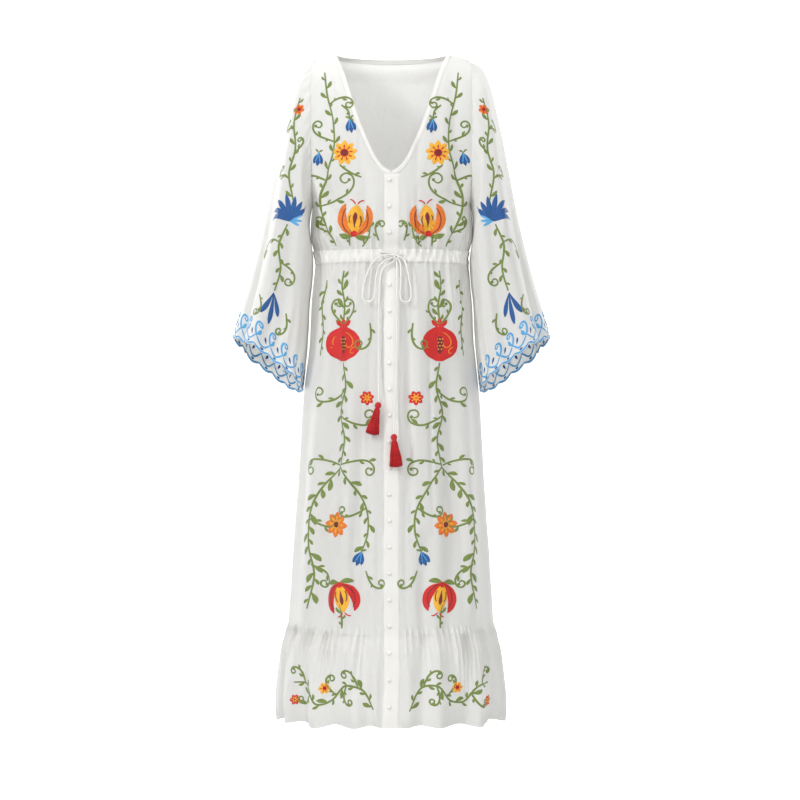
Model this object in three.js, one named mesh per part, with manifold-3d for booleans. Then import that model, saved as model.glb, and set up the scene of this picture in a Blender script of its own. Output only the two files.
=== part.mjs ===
// A long peasant dress, filled out and hollow: gathered bodice with a V neck, bell sleeves with scalloped edges,
// drawstring waist tied in a bow with two tassels, gathered skirt, hem flounce and a buttoned front band.
// Millimetres. +Z is up, the front faces -Y and the wearer's left is +X. The origin lies between the neck points.
import * as THREE from "three";
import { mergeVertices } from "three/addons/utils/BufferGeometryUtils.js";
import Module from "manifold-3d";

const seam = 0.4; // gap between neighbouring pieces
const cutRoom = 0.32; // gap left where a piece is cut back by its neighbour
const cloth = 1.2; // wall of a panel
const folded = 2; // wall of a folded strip
const proud = 0.8; // how far a folded strip stands out of the panels beside it

const neck = { halfWidth: 115, backDepth: 58, backDip: 4, backLean: 4, band: 10 };
const shoulder = { halfWidth: 165, drop: 18, frontRounding: 170, backRounding: 140 };
const armhole = { bottom: -315, halfDepth: 68 };
const waist = { top: -408, bottom: -436 };
const hem = -1372;
const placket = { top: -260.4, halfWidth: 17 }; // the front band
const flatFront = { from: 24, to: 52 }; // beside the front band the folds grow from nothing

const button = { count: 21, radius: 4, height: 3.3, first: -270, spacing: 53, x: -4 };
const cordRadius = 1.75;
const knot = { centre: [9, -97.5, -426], across: 6.2, thick: 4.2 };
const tassel = { length: 70, headRadius: 7.5, headLength: 17, halfWidth: 14, halfDepth: 6, uneven: 1.5 };
const lock = { rootSpread: 4.2, root: 1, end: 1.2 }; // a thread lock: its root's spread, and its two radii

// The body of the dress at each height: half its width, and how far the cloth stands before and behind the sides.
const torso = [
  { z: 0, half: 165, front: 104, back: 84 },
  { z: -100, half: 164.4, front: 106, back: 90 },
  { z: -200, half: 163.8, front: 108, back: 91 },
  { z: -315, half: 163, front: 105, back: 87 },
  { z: -350, half: 165, front: 102, back: 85 },
  { z: -385, half: 164, front: 99, back: 82 },
  { z: -408, half: 156, front: 90, back: 76 },
  { z: -436, half: 155, front: 89, back: 75 },
  { z: -470, half: 158, front: 95, back: 85 },
  { z: -520, half: 163, front: 104, back: 100 },
  { z: -602, half: 167, front: 113, back: 116 },
  { z: -710, half: 179, front: 121, back: 124 },
  { z: -861, half: 188, front: 131, back: 132 },
  { z: -990, half: 198, front: 138, back: 139 },
  { z: -1131, half: 208, front: 146, back: 147 },
  { z: -1190, half: 214, front: 150, back: 151 },
  { z: -1225, half: 224, front: 157, back: 158 },
  { z: -1304, half: 232, front: 167, back: 168 },
  { z: -1345, half: 233, front: 173, back: 174 },
  { z: -1372, half: 230, front: 175, back: 176 },
];

// How deep the folds are at each height: waist gathers, long skirt folds, flounce gathers and hem waves.
const foldDepth = [
  { z: -290, gathers: 0, long: 0, fine: 0, wave: 0 },
  { z: -350, gathers: 1.6, long: 0, fine: 0, wave: 0 },
  { z: -408, gathers: 2, long: 0, fine: 0, wave: 0 },
  { z: -437, gathers: 0.8, long: 1.2, fine: 0, wave: 0 },
  { z: -500, gathers: 0.6, long: 4, fine: 0, wave: 0 },
  { z: -800, gathers: 0, long: 5, fine: 0, wave: 0 },
  { z: -1188, gathers: 0, long: 5, fine: 0.6, wave: 0 },
  { z: -1192, gathers: 0, long: 3.6, fine: 2, wave: 0.6 },
  { z: -1260, gathers: 0, long: 2, fine: 1.4, wave: 4 },
  { z: -1372, gathers: 0, long: 0.5, fine: 0.6, wave: 8 },
];
const gatherCount = 20;
const fineCount = 30;
const waveCount = 15;

// The left half of the V neck's edge, from the neck point down to the middle.
const vNeck = [
  { x: 115, z: 0 },
  { x: 97, z: -47 },
  { x: 80.5, z: -100 },
  { x: 60, z: -160 },
  { x: 35, z: -215.5 },
  { x: 22, z: -236 },
  { x: 10, z: -247 },
  { x: 0, z: -250 },
];

// The left sleeve from armhole to hem: its outer and inner edges, half its depth, how much higher the front
// of the section lies than its back, and the depth of its folds.
const sleeve = [
  { outX: 165, outZ: -18, inX: 163, inZ: -315, depth: 68, rise: 0, folds: 0 },
  { outX: 187, outZ: -32, inX: 168.2, inZ: -348, depth: 73, rise: 0, folds: 1 },
  { outX: 203, outZ: -68, inX: 167.6, inZ: -385, depth: 77, rise: 1, folds: 2 },
  { outX: 216, outZ: -122, inX: 161.5, inZ: -425, depth: 80, rise: 2, folds: 3 },
  { outX: 229, outZ: -185, inX: 163.2, inZ: -470, depth: 82, rise: 4, folds: 3.5 },
  { outX: 243, outZ: -262, inX: 168.6, inZ: -520, depth: 83, rise: 7, folds: 4 },
  { outX: 259, outZ: -350, inX: 170.8, inZ: -570, depth: 84, rise: 11, folds: 5 },
  { outX: 281, outZ: -448, inX: 174.4, inZ: -620, depth: 84, rise: 15, folds: 6 },
  { outX: 303, outZ: -530, inX: 179.2, inZ: -662, depth: 83, rise: 18, folds: 7 },
  { outX: 322, outZ: -598, inX: 183.2, inZ: -698, depth: 82, rise: 20, folds: 8 },
];

// The thread locks of a tassel, in rings: how far out each ring reaches, and its number of locks.
const tasselRings = [
  { share: 0.95, locks: 12 },
  { share: 0.6, locks: 7 },
  { share: 0.22, locks: 3 },
];

// Stretches across each piece, and down a sleeve.
const stretches = {
  bodiceFront: 14,
  backNeck: 12,
  backShoulder: 6,
  casing: 56,
  skirtFront: 16,
  skirtBack: 32,
  flounceFront: 30,
  flounceBack: 60,
  sleeveLength: 7,
};
const scallop = { count: 16, share: 0.1 }; // its depth is this share of the last stretch of the sleeve

// Rows where the walls bend, as heights down the front edge of each piece.
const bodiceRows = [-14, -36, -66, -102, -142, -182, -218, -243, -258, -300, -345, -378, -408];
const backShares = [0, 0.03, 0.08, 0.16, 0.27, 0.4, 0.54, 0.7, 0.86, 1];
const skirtRows = [-436.4, -470, -520, -602, -700, -820, -945, -1070, -1190];
const flounceRows = [-1190.4, -1225, -1268, -1320, -1372];

// Drawstring routes, hand-laid over the cloth: casing to knot, round each loop, and down to the tassels.
const routes = {
  lead_left: [
    [22.6, -91.6, -419.6], [20.4, -92.4, -419.8], [17.8, -94, -420.6], [15, -95.8, -422], [12, -96.8, -424],
  ],
  lead_right: [
    [-21, -91.8, -415], [-18.6, -93.4, -415.2], [-15.4, -94.4, -415.6], [-11, -95, -416.2], [-6, -95.4, -417],
    [-1, -95.4, -417.6], [3, -95.8, -419.6], [7, -96.8, -424],
  ],
  loop_left: [
    [10, -98, -427.6], [14.2, -98.8, -430.4], [17, -99.6, -435], [18.8, -101.4, -443], [19.4, -104.2, -454],
    [19.2, -107.6, -468], [18.6, -111, -484], [18, -113.6, -500], [18.6, -115, -510], [22.4, -115.8, -516],
    [29.6, -116, -517.4], [36.8, -115, -514.8], [40, -113, -507], [39.6, -110.8, -495], [37.4, -107.6, -478],
    [34.2, -104.4, -460], [30.6, -101.6, -445], [26.4, -100, -433], [21.6, -99.4, -427], [16.8, -99, -425.4],
    [11.4, -98.2, -425.6],
  ],
  loop_right: [
    [7, -98, -426.6], [2, -98.8, -427.2], [-4, -99, -428.6], [-10, -98.4, -431], [-17, -98, -435.4],
    [-23.4, -99, -443], [-28.4, -102, -455], [-31.4, -106, -470], [-33, -109.8, -486], [-34, -112.6, -500],
    [-36, -114.2, -510], [-41.6, -114.6, -516], [-49, -114, -517.6], [-55.4, -112.6, -514],
    [-58, -110.4, -506], [-57.2, -107.6, -492], [-53.6, -103.6, -474], [-47.8, -99.8, -456],
    [-39.6, -97.4, -440], [-29, -97.2, -428.4], [-18, -99.2, -422.6], [-8, -100.8, -421], [0, -101, -421.4], [5.6, -99, -424.2],
  ],
  tail_left: [
    [9.6, -97.6, -430], [10.6, -98, -436], [11, -98.6, -443], [11.2, -100.6, -455], [11.4, -104, -470],
    [11.6, -108.2, -492], [11.6, -111.4, -515], [11.4, -114.2, -545], [11.2, -117.2, -580], [10.4, -120, -620],
    [9.4, -123, -660], [8, -126.6, -700], [6.4, -131, -735], [5.4, -135.6, -760], [5.1, -139.8, -776],
    [5, -142, -786],
  ],
  tail_right: [
    [7.4, -97.6, -429.4], [4.4, -97.4, -434.4], [-1, -96.8, -438.4], [-7, -96.6, -441.6], [-13, -97.4, -446],
    [-18, -99.4, -453], [-21.4, -102.6, -464], [-23.4, -106.4, -480], [-24.6, -109.8, -500], [-25.4, -113, -530],
    [-25.8, -116.2, -565], [-26, -119.4, -605], [-26, -123, -645], [-25.8, -127.6, -680], [-25.4, -132.2, -704],
    [-25.2, -135.2, -722],
  ],
};
const tassels = {
  tassel_left: { top: [5, -142, -784], lean: 4 },
  tassel_right: { top: [-25.2, -135.2, -720], lean: -12 },
};

const wasm = await Module();
wasm.setup();

const paint = (color, roughness) => new THREE.MeshStandardMaterial({ color, roughness, metalness: 0 });
const finish = {
  cotton: paint(0xeeeeec, 0.85),
  band: paint(0xf2f0ea, 0.8),
  covered: paint(0xf4f2ee, 0.7),
  cord: paint(0xf3f2ef, 0.8),
  thread: paint(0xc81419, 0.65),
};

const clamp = THREE.MathUtils.clamp;
const smoothstep = THREE.MathUtils.smoothstep;
const lerp = THREE.MathUtils.lerp;

// A column of a table at any place between its rows, on a smooth curve through them.
function read(table, key, column, at) {
  const last = table.length - 1;
  const turn = Math.sign(table[last][key] - table[0][key]);
  let i = 0;
  while (i < last - 1 && (at - table[i + 1][key]) * turn > 0) i++;
  const slope = (k) => {
    const before = table[Math.max(k - 1, 0)];
    const after = table[Math.min(k + 1, last)];
    return (after[column] - before[column]) / (after[key] - before[key]);
  };
  const span = table[i + 1][key] - table[i][key];
  const t = clamp((at - table[i][key]) / span, 0, 1);
  const ease = t * t * (3 - 2 * t);
  const leave = slope(i) * span * t * (1 - t) * (1 - t);
  const arrive = slope(i + 1) * span * t * t * (t - 1);
  return lerp(table[i][column], table[i + 1][column], ease) + leave + arrive;
}
const sleeveSteps = sleeve.map((row, step) => ({ ...row, step }));

// Fold height at an angle round the body, 0 at the middle of the front. Whole numbers of waves close the round.
function fold(angle, z, fromMiddle) {
  const depth = (column) => read(foldDepth, "z", column, z);
  const gathers = Math.sin(gatherCount * angle + 0.5 * Math.sin(3 * angle + 1));
  const long =
    0.6 * Math.sin(13 * angle + 0.9 * Math.sin(2 * angle + 1) - z / 420) +
    0.4 * Math.sin(9 * angle + 1.3 + 1.1 * Math.sin(3 * angle) + z / 600);
  const fine = Math.sin(fineCount * angle + 0.7 * Math.sin(4 * angle));
  const wave = Math.sin(waveCount * angle + 0.8 * Math.sin(2 * angle + 0.6) + 0.4);
  const height =
    depth("gathers") * gathers + depth("long") * long + depth("fine") * fine + depth("wave") * wave;
  return height * smoothstep(Math.abs(fromMiddle), flatFront.from, flatFront.to);
}

// A point of the body's cloth at an angle and height: an oval section with its folds, parted at the side seams.
function bodyPoint(angle, z, out = 0) {
  const before = Math.cos(angle) > 0;
  const half = read(torso, "z", "half", z);
  const depth = read(torso, "z", before ? "front" : "back", z);
  const x = half * Math.sin(angle);
  const y = -depth * Math.cos(angle);
  const length = Math.hypot(x / half ** 2, y / depth ** 2);
  const lift = out + fold(angle, z, before ? x : half);
  const part = before ? -seam / 2 : seam / 2;
  return [x + (lift * x) / half ** 2 / length, y + part + (lift * y) / depth ** 2 / length, z];
}

// How far the armhole's edge stands before or behind the shoulder line.
function armholeDepth(z) {
  const middle = (-shoulder.drop + armhole.bottom) / 2;
  const reach = -shoulder.drop - middle;
  return armhole.halfDepth * Math.sqrt(Math.max(0, 1 - ((z - middle) / reach) ** 2));
}

function shoulderLine(x) {
  const along = clamp((Math.abs(x) - neck.halfWidth) / (shoulder.halfWidth - neck.halfWidth), 0, 1);
  return -shoulder.drop * along;
}

// The bodice's cloth at a place across and a height: rounded over the shoulder, and flat enough at the
// armhole for the sleeve to go on from it.
function bodicePoint(x, z, before, out = 0) {
  const half = read(torso, "z", "half", z);
  const across = clamp(x / half, -1, 1);
  const angle = before ? Math.asin(across) : Math.PI - Math.asin(across);
  const neckShare = before ? 0 : Math.sqrt(Math.max(0, 1 - (x / neck.halfWidth) ** 2));
  const start = neck.backDepth * neckShare;
  const top = shoulderLine(x) - neck.backDip * neckShare;
  const rounding = before ? shoulder.frontRounding : shoulder.backRounding;
  const drop = clamp((top - z) / rounding, 0, 1);
  const rounded = (1 - (1 - drop) ** 2) ** (0.5 + 0.5 * neckShare);
  const full = lerp(start, read(torso, "z", before ? "front" : "back", z), rounded);
  const arm = armholeDepth(z);
  const power = 0.5 + (0.5 * arm) / armhole.halfDepth;
  const depth = arm + (full - arm) * Math.max(0, 1 - across ** 2) ** power;
  const lift = out + fold(angle, z, before ? x : half);
  const side = before ? -1 : 1;
  const outward = new THREE.Vector2(across / half, Math.sqrt(1 - across ** 2) / Math.max(full, 1)).normalize();
  return [x + lift * outward.x, side * (depth + seam / 2 + lift * outward.y), z];
}

// A closed wall from a grid of points on the cloth: a face just outside them, one within by the thickness,
// and the edges between. Along a seam the thickness stays in the seam's own plane, whose normal edges names.
function wall({ point, columns, rows, thickness, out = 0, tube = false, edges = {} }) {
  const step = 1e-3;
  const across = tube ? columns.length : columns.length - 1;
  const outer = [];
  const inner = [];
  rows.forEach((v, j) =>
    columns.forEach((u, i) => {
      const here = new THREE.Vector3(...point(u, v));
      const du = new THREE.Vector3(...point(u + step, v)).sub(new THREE.Vector3(...point(u - step, v)));
      const dv = new THREE.Vector3(...point(u, v + step)).sub(new THREE.Vector3(...point(u, v - step)));
      const normal = dv.cross(du).normalize();
      const met = [];
      if (j === 0) met.push(edges.top);
      if (j === rows.length - 1) met.push(edges.bottom);
      if (!tube && i === 0) met.push(edges.first);
      if (!tube && i === columns.length - 1) met.push(edges.last);
      for (const edge of met) {
        const axis = typeof edge === "function" ? edge(here.z) : edge;
        if (axis) normal[axis] = 0;
      }
      normal.normalize();
      outer.push(here.clone().addScaledVector(normal, out).toArray());
      inner.push(here.addScaledVector(normal, -thickness).toArray());
    }),
  );
  const positions = [...outer, ...inner];
  const at = (i, j, layer) => layer * outer.length + j * columns.length + (i % columns.length);
  const faces = [];
  const quad = (a, b, c, d) => faces.push(a, b, c, a, c, d);
  for (let j = 0; j < rows.length - 1; j++) {
    for (let i = 0; i < across; i++) {
      quad(at(i, j, 0), at(i, j + 1, 0), at(i + 1, j + 1, 0), at(i + 1, j, 0));
      quad(at(i, j, 1), at(i + 1, j, 1), at(i + 1, j + 1, 1), at(i, j + 1, 1));
    }
  }
  const end = rows.length - 1;
  for (let i = 0; i < across; i++) {
    quad(at(i, 0, 0), at(i + 1, 0, 0), at(i + 1, 0, 1), at(i, 0, 1));
    quad(at(i, end, 0), at(i, end, 1), at(i + 1, end, 1), at(i + 1, end, 0));
  }
  for (let j = 0; j < end && !tube; j++) {
    quad(at(0, j, 0), at(0, j, 1), at(0, j + 1, 1), at(0, j + 1, 0));
    quad(at(across, j, 0), at(across, j + 1, 0), at(across, j + 1, 1), at(across, j, 1));
  }
  const geometry = new THREE.BufferGeometry();
  geometry.setAttribute("position", new THREE.Float32BufferAttribute(positions.flat(), 3));
  geometry.setIndex(faces);
  return geometry;
}

const steps = (count) => Array.from({ length: count + 1 }, (_, i) => i / count);
const group = new THREE.Group();

function add(name, geometry, material) {
  const mesh = new THREE.Mesh(geometry, material);
  mesh.name = name;
  group.add(mesh);
  return mesh;
}

// The neck's edge on the front, as a curve in X and Z that runs from the left neck point to the right one.
const neckCurve = new THREE.CatmullRomCurve3(
  [...vNeck, ...vNeck.slice(0, -1).reverse().map(({ x, z }) => ({ x: -x, z }))].map(
    ({ x, z }) => new THREE.Vector3(x, 0, z),
  ),
);

// A place on the front neck band, at a distance out from the neck's edge and within the front's surface plane.
function besideNeck(t, distance) {
  const place = neckCurve.getPoint(t);
  const along = neckCurve.getTangent(t);
  return { x: place.x - along.z * distance, z: place.z + along.x * distance };
}

// The place along the neck's edge, within its left half, where a falling value passes a target.
function neckPlace(value, target) {
  let low = 0;
  let high = 0.5;
  for (let i = 0; i < 40; i++) {
    const middle = (low + high) / 2;
    if (value(middle) > target) low = middle;
    else high = middle;
  }
  return (low + high) / 2;
}

const panelStart = neck.band + seam;

// The front panel's inner edge: beside the neck band, then beside the front band.
function panelEdge(z) {
  const t = neckPlace((s) => besideNeck(s, panelStart).z, z);
  return Math.max(besideNeck(t, panelStart).x, placket.halfWidth + seam);
}

// The plane in which the bodice's outer edge meets its neighbour: the sleeve down to the armhole's end, then the
// other body panel.
const sideSeam = (z) => (z > armhole.bottom ? "x" : "y");

// The wearer's sides, by the sign of X.
const sides = { left: 1, right: -1 };

// A bodice front, from the neck band and the front band out to the sleeve and the side seam.
function bodiceFront(side) {
  const top = besideNeck(0, panelStart).z;
  const rows = [top, ...bodiceRows];
  const point = (u, v) => {
    const w = side > 0 ? u : 1 - u;
    const inZ = lerp(top, waist.top, v);
    const outZ = lerp(-shoulder.drop, waist.top, v);
    const z = lerp(inZ, outZ, w);
    const half = read(torso, "z", "half", z);
    const from = panelEdge(inZ);
    const turned = half * Math.sin(lerp(Math.asin(from / half), Math.PI / 2, w));
    const x = lerp(turned, lerp(from, half, w), armholeDepth(z) / armhole.halfDepth);
    return bodicePoint(side * x, z, true);
  };
  const inner = (z) => (z < placket.top ? "x" : null);
  return wall({
    point,
    columns: steps(stretches.bodiceFront),
    rows: rows.map((z) => (z - top) / (waist.top - top)),
    thickness: cloth,
    edges: {
      top: "y",
      bottom: "z",
      first: side > 0 ? inner : sideSeam,
      last: side > 0 ? sideSeam : inner,
    },
  });
}

// The back panel's top edge at a place across: below the neck band, then along the shoulder.
function backTop(across) {
  const neckEdge = besideNeck(0, panelStart);
  if (Math.abs(across) >= neckEdge.x) return { y: 0, z: shoulderLine(across) };
  const share = Math.sqrt(Math.max(0, 1 - (across / neckEdge.x) ** 2));
  return { y: (neck.backDepth + neck.backLean) * share, z: lerp(neckEdge.z, -neck.backDip - neck.band, share) };
}

// The back panel, cut back from the neck band at its top.
function bodiceBack() {
  const neckEdge = besideNeck(0, panelStart).x;
  const place = (x) => 0.5 - Math.asin(x / shoulder.halfWidth) / Math.PI;
  const acrossNeck = steps(stretches.backNeck).map((s) => place(neckEdge * Math.sin((0.5 - s) * Math.PI)));
  const beside = steps(stretches.backShoulder).slice(1).map((s) => lerp(place(-neckEdge), 1, s));
  const columns = [...beside.map((s) => 1 - s).reverse(), ...acrossNeck, ...beside];
  const point = (u, v) => {
    const across = Math.sin((0.5 - u) * Math.PI);
    const top = backTop(shoulder.halfWidth * clamp(across, -1, 1));
    const z = lerp(top.z, waist.top, v);
    const [x, y] = bodicePoint(read(torso, "z", "half", z) * across, z, false);
    return [x, lerp(top.y + seam / 2, y, smoothstep(v, 0, 0.1)), z];
  };
  const panel = wall({
    point,
    columns,
    rows: backShares,
    thickness: cloth,
    edges: { bottom: "z", first: sideSeam, last: sideSeam },
  });
  return largest(solid(panel).subtract(solid(neckbandBack(cutRoom))));
}

// The largest piece of a cut solid.
function largest(body) {
  const parts = body.decompose().sort((a, b) => b.volume() - a.volume());
  return geometryOf(parts[0]);
}

// Half of the neck band's front, from the neck point to the middle of the V.
function neckbandFront(side) {
  const edge = (s) => besideNeck(s, panelStart).z;
  const stations = bodiceRows.slice(0, 8).map((z) => neckPlace(edge, z));
  const end = neckPlace((s) => neckCurve.getPoint(s).x, seam / 2);
  const turn = stations.at(-1);
  const rows = [0, ...stations, lerp(turn, end, 0.35), lerp(turn, end, 0.7), end];
  const point = (u, v) => {
    const w = side > 0 ? u : 1 - u;
    const place = besideNeck(clamp(v, 0, 0.5), w * neck.band);
    return bodicePoint(side * place.x, Math.min(place.z, 0), true, proud / 2);
  };
  return wall({
    point,
    columns: steps(1),
    rows,
    thickness: folded,
    edges: { top: "y", bottom: "x" },
  });
}

// The neck band round the back, grown by a clearance.
function neckbandBack(room = 0) {
  const inner = { x: neck.halfWidth, y: neck.backDepth, z: -neck.backDip };
  const edge = besideNeck(0, neck.band - seam);
  const point = (u, v) => {
    const angle = (0.5 - u) * Math.PI;
    const x = lerp(inner.x, edge.x, v) * Math.sin(angle);
    const y = seam / 2 + lerp(inner.y, inner.y + neck.backLean, v) * Math.cos(angle);
    const drop = lerp(inner.z, -neck.backDip - neck.band + 2 * seam, v);
    return [x, y, lerp(lerp(0, edge.z, v), drop, Math.cos(angle))];
  };
  return wall({
    point,
    columns: steps(stretches.backNeck),
    rows: [-room / neck.band, 1 + room / neck.band],
    thickness: folded + room,
    out: room,
    edges: { first: "y", last: "y" },
  });
}

// A sleeve: an oval section that widens to the hem, with soft folds and a scalloped edge.
function sleeveWall(side) {
  const end = sleeve.length - 1;
  const around = 3 * scallop.count;
  const point = (u, v) => {
    const angle = 2 * Math.PI * (side > 0 ? u : 1 - u);
    const lobe = Math.abs(Math.sin((scallop.count * angle) / 2));
    const step = v * end - scallop.share * (1 - lobe) * smoothstep(v, 1 - 1 / stretches.sleeveLength, 1);
    const at = (column) => read(sleeveSteps, "step", column, step);
    const swell = 1 + (at("folds") / at("depth")) * Math.sin(5 * angle + 1.7 * Math.sin(angle) + 0.5 + step / 6);
    const middle = { x: (at("outX") + at("inX")) / 2, z: (at("outZ") + at("inZ")) / 2 };
    const reach = { x: (at("outX") - at("inX")) / 2, z: (at("outZ") - at("inZ")) / 2 };
    const out = Math.cos(angle) * (Math.cos(angle) < 0 ? 1 : swell);
    const back = Math.sin(angle) * swell;
    const x = middle.x + reach.x * out + seam;
    const z = middle.z + reach.z * out - at("rise") * back;
    return [side * x, at("depth") * back, z];
  };
  return wall({
    point,
    columns: steps(around).slice(0, -1),
    rows: steps(stretches.sleeveLength),
    thickness: cloth,
    tube: true,
    edges: { top: "x" },
  });
}

// A panel of the body between two heights and two angles, which may move with the height.
function bodyPanel({ rows, from, to, count, out = 0, thickness = cloth, edges }) {
  const top = rows[0];
  const bottom = rows.at(-1);
  const point = (u, v) => {
    const z = lerp(top, bottom, v);
    return bodyPoint(lerp(from(z), to(z), u), z, out);
  };
  return wall({
    point,
    columns: steps(count),
    rows: rows.map((z) => (z - top) / (bottom - top)),
    thickness,
    edges: { top: "z", bottom: "z", ...edges },
  });
}

const besidePlacket = (z) => Math.asin((placket.halfWidth + seam) / read(torso, "z", "half", z));
const quarter = Math.PI / 2;
const parted = 1e-6; // keeps a side seam's points on their own side of it

function frontPanel(side, rows, count) {
  const out = (z) => side * besidePlacket(z);
  const seamSide = () => side * (quarter - parted);
  return bodyPanel({
    rows,
    from: side > 0 ? out : seamSide,
    to: side > 0 ? seamSide : out,
    count,
    edges: side > 0 ? { first: "x", last: "y" } : { first: "y", last: "x" },
  });
}

function backPanel(rows, count) {
  return bodyPanel({
    rows,
    from: () => quarter + parted,
    to: () => 3 * quarter - parted,
    count,
    edges: { first: "y", last: "y" },
  });
}

function waistCasing() {
  const rows = [waist.top - seam, waist.bottom];
  return bodyPanel({
    rows,
    from: besidePlacket,
    to: (z) => 2 * Math.PI - besidePlacket(z),
    count: stretches.casing,
    out: proud,
    thickness: folded,
    edges: { first: "x", last: "x" },
  });
}

const frontY = (z) => -read(torso, "z", "front", z) - seam / 2 - proud;
const buttonHeights = Array.from({ length: button.count }, (_, i) => button.first - i * button.spacing);

function frontBand() {
  const heights = buttonHeights.flatMap((z) => [z, z - button.spacing / 2]).slice(0, -1);
  const rows = [placket.top, waist.top, waist.bottom, ...heights, hem].sort((a, b) => b - a);
  const point = (u, v) => {
    const z = lerp(placket.top, hem, v);
    const x = lerp(-placket.halfWidth, placket.halfWidth, u);
    return bodyPoint(Math.asin(x / read(torso, "z", "half", z)), z, proud);
  };
  return wall({
    point,
    columns: steps(2),
    rows: rows.map((z) => (z - placket.top) / (hem - placket.top)),
    thickness: folded,
    edges: { top: "z", bottom: "z", first: "x", last: "x" },
  });
}

// A covered button: a low dome whose base lies along the band.
function addButton(index, z) {
  const dome = [
    [0, 0], [button.radius, 0], [0.8 * button.radius, 0.65 * button.height], [0, button.height],
  ].map(([r, h]) => new THREE.Vector2(r, h));
  const slope = new THREE.Vector3(0, frontY(z + 1) - frontY(z - 1), 2).normalize();
  const out = new THREE.Vector3(1, 0, 0).cross(slope);
  const name = "button_" + String(index + 1).padStart(2, "0");
  const mesh = add(name, new THREE.LatheGeometry(dome, 8), finish.covered);
  mesh.quaternion.setFromUnitVectors(new THREE.Vector3(0, 1, 0), out);
  mesh.position.set(button.x, frontY(z), z).addScaledVector(out, seam);
}

// A cord's eight-sided section.
function round(radius) {
  const corner = (share) => new THREE.Vector2(radius, 0).rotateAround(new THREE.Vector2(), 2 * Math.PI * share);
  return new THREE.Shape(steps(8).slice(0, -1).map(corner));
}

// A cord along its route, cut back from the knot and the tassels that it runs into.
function cordTube(points, cutters) {
  const path = new THREE.CatmullRomCurve3(points.map((p) => new THREE.Vector3(...p)));
  const along = Math.max(3, Math.round(path.getLength() / (6 * cordRadius)));
  const lay = { steps: along, extrudePath: path, bevelEnabled: false };
  const tube = new THREE.ExtrudeGeometry(round(cordRadius), lay);
  return largest(cutters.reduce((body, cutter) => body.subtract(cutter), solid(tube)));
}

function solid(geometry) {
  const bare = geometry.clone().deleteAttribute("normal").deleteAttribute("uv");
  const merged = mergeVertices(bare, 1e-4);
  return new wasm.Manifold(
    new wasm.Mesh({
      numProp: 3,
      vertProperties: new Float32Array(merged.attributes.position.array),
      triVerts: new Uint32Array(merged.index.array),
    }),
  );
}

function geometryOf(body) {
  const { vertProperties, triVerts } = body.getMesh();
  const geometry = new THREE.BufferGeometry();
  geometry.setAttribute("position", new THREE.BufferAttribute(new Float32Array(vertProperties), 3));
  geometry.setIndex(new THREE.BufferAttribute(new Uint32Array(triVerts), 1));
  return geometry;
}

// One thread lock, three-sided, from its root inside the head to its free end.
function strand(root, end) {
  const along = end.clone().sub(root);
  const turn = new THREE.Quaternion().setFromUnitVectors(new THREE.Vector3(0, -1, 0), along.clone().normalize());
  return new THREE.CylinderGeometry(lock.root, lock.end, along.length(), 3)
    .translate(0, -along.length() / 2, 0)
    .applyQuaternion(turn)
    .translate(root.x, root.y, root.z);
}

// A tassel's wound head, hanging from its top, grown by a clearance.
function tasselHead(out = 0) {
  const { headRadius, headLength } = tassel;
  const profile = [
    [0, -headLength - out],
    [0.84 * headRadius + out, -headLength - out],
    [0.72 * headRadius + out, -0.8 * headLength],
    [headRadius + out, -0.5 * headLength],
    [0.8 * headRadius + out, -0.18 * headLength],
    [0.3 * headRadius + out, out],
    [0, out],
  ].map(([r, h]) => new THREE.Vector2(r, h));
  return new THREE.LatheGeometry(profile, 10).rotateX(Math.PI / 2);
}

// A tassel hanging from its top: the head with the thread locks fused into it at their roots.
function tasselBody() {
  const { length, headLength, halfWidth, halfDepth, uneven } = tassel;
  let body = solid(tasselHead());
  tasselRings.forEach(({ share, locks }, ring) => {
    for (let i = 0; i < locks; i++) {
      const angle = (2 * Math.PI * (i + 0.5 * (ring % 2))) / locks;
      const spread = new THREE.Vector3(Math.cos(angle), Math.sin(angle), 0).multiplyScalar(share);
      const root = spread.clone().multiplyScalar(lock.rootSpread).setZ(-0.86 * headLength);
      const drop = length - uneven * (1 - Math.cos(3 * angle + ring));
      const end = spread.clone().multiply(new THREE.Vector3(halfWidth, halfDepth, 0)).setZ(-drop);
      body = body.add(solid(strand(root, end)));
    }
  });
  return geometryOf(body);
}

for (const [name, side] of Object.entries(sides)) {
  add("bodice_front_" + name, bodiceFront(side), finish.cotton);
  add("sleeve_" + name, sleeveWall(side), finish.cotton);
  add("neckband_" + name, neckbandFront(side), finish.band);
  add("skirt_front_" + name, frontPanel(side, skirtRows, stretches.skirtFront), finish.cotton);
  add("flounce_front_" + name, frontPanel(side, flounceRows, stretches.flounceFront), finish.cotton);
}
add("bodice_back", bodiceBack(), finish.cotton);
add("neckband_back", neckbandBack(), finish.band);
add("waist_casing", waistCasing(), finish.band);
add("skirt_back", backPanel(skirtRows, stretches.skirtBack), finish.cotton);
add("flounce_back", backPanel(flounceRows, stretches.flounceBack), finish.cotton);
add("front_band", frontBand(), finish.band);
buttonHeights.forEach((z, index) => addButton(index, z));

const knotBall = (out) =>
  new THREE.SphereGeometry(1, 10, 7)
    .scale(knot.across + out, knot.thick + out, knot.across + out)
    .translate(...knot.centre);
add("bow_knot", knotBall(0), finish.cord);

const tasselShape = tasselBody();
const cutters = [solid(knotBall(cutRoom))];
for (const [name, { top, lean }] of Object.entries(tassels)) {
  const mesh = add(name, tasselShape, finish.thread);
  mesh.position.set(...top);
  mesh.rotation.y = THREE.MathUtils.degToRad(-lean);
  const room = tasselHead(seam).rotateY(mesh.rotation.y).translate(...top);
  cutters.push(solid(room));
}
for (const [name, points] of Object.entries(routes)) add(name, cordTube(points, cutters), finish.cord);

export default group;
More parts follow.
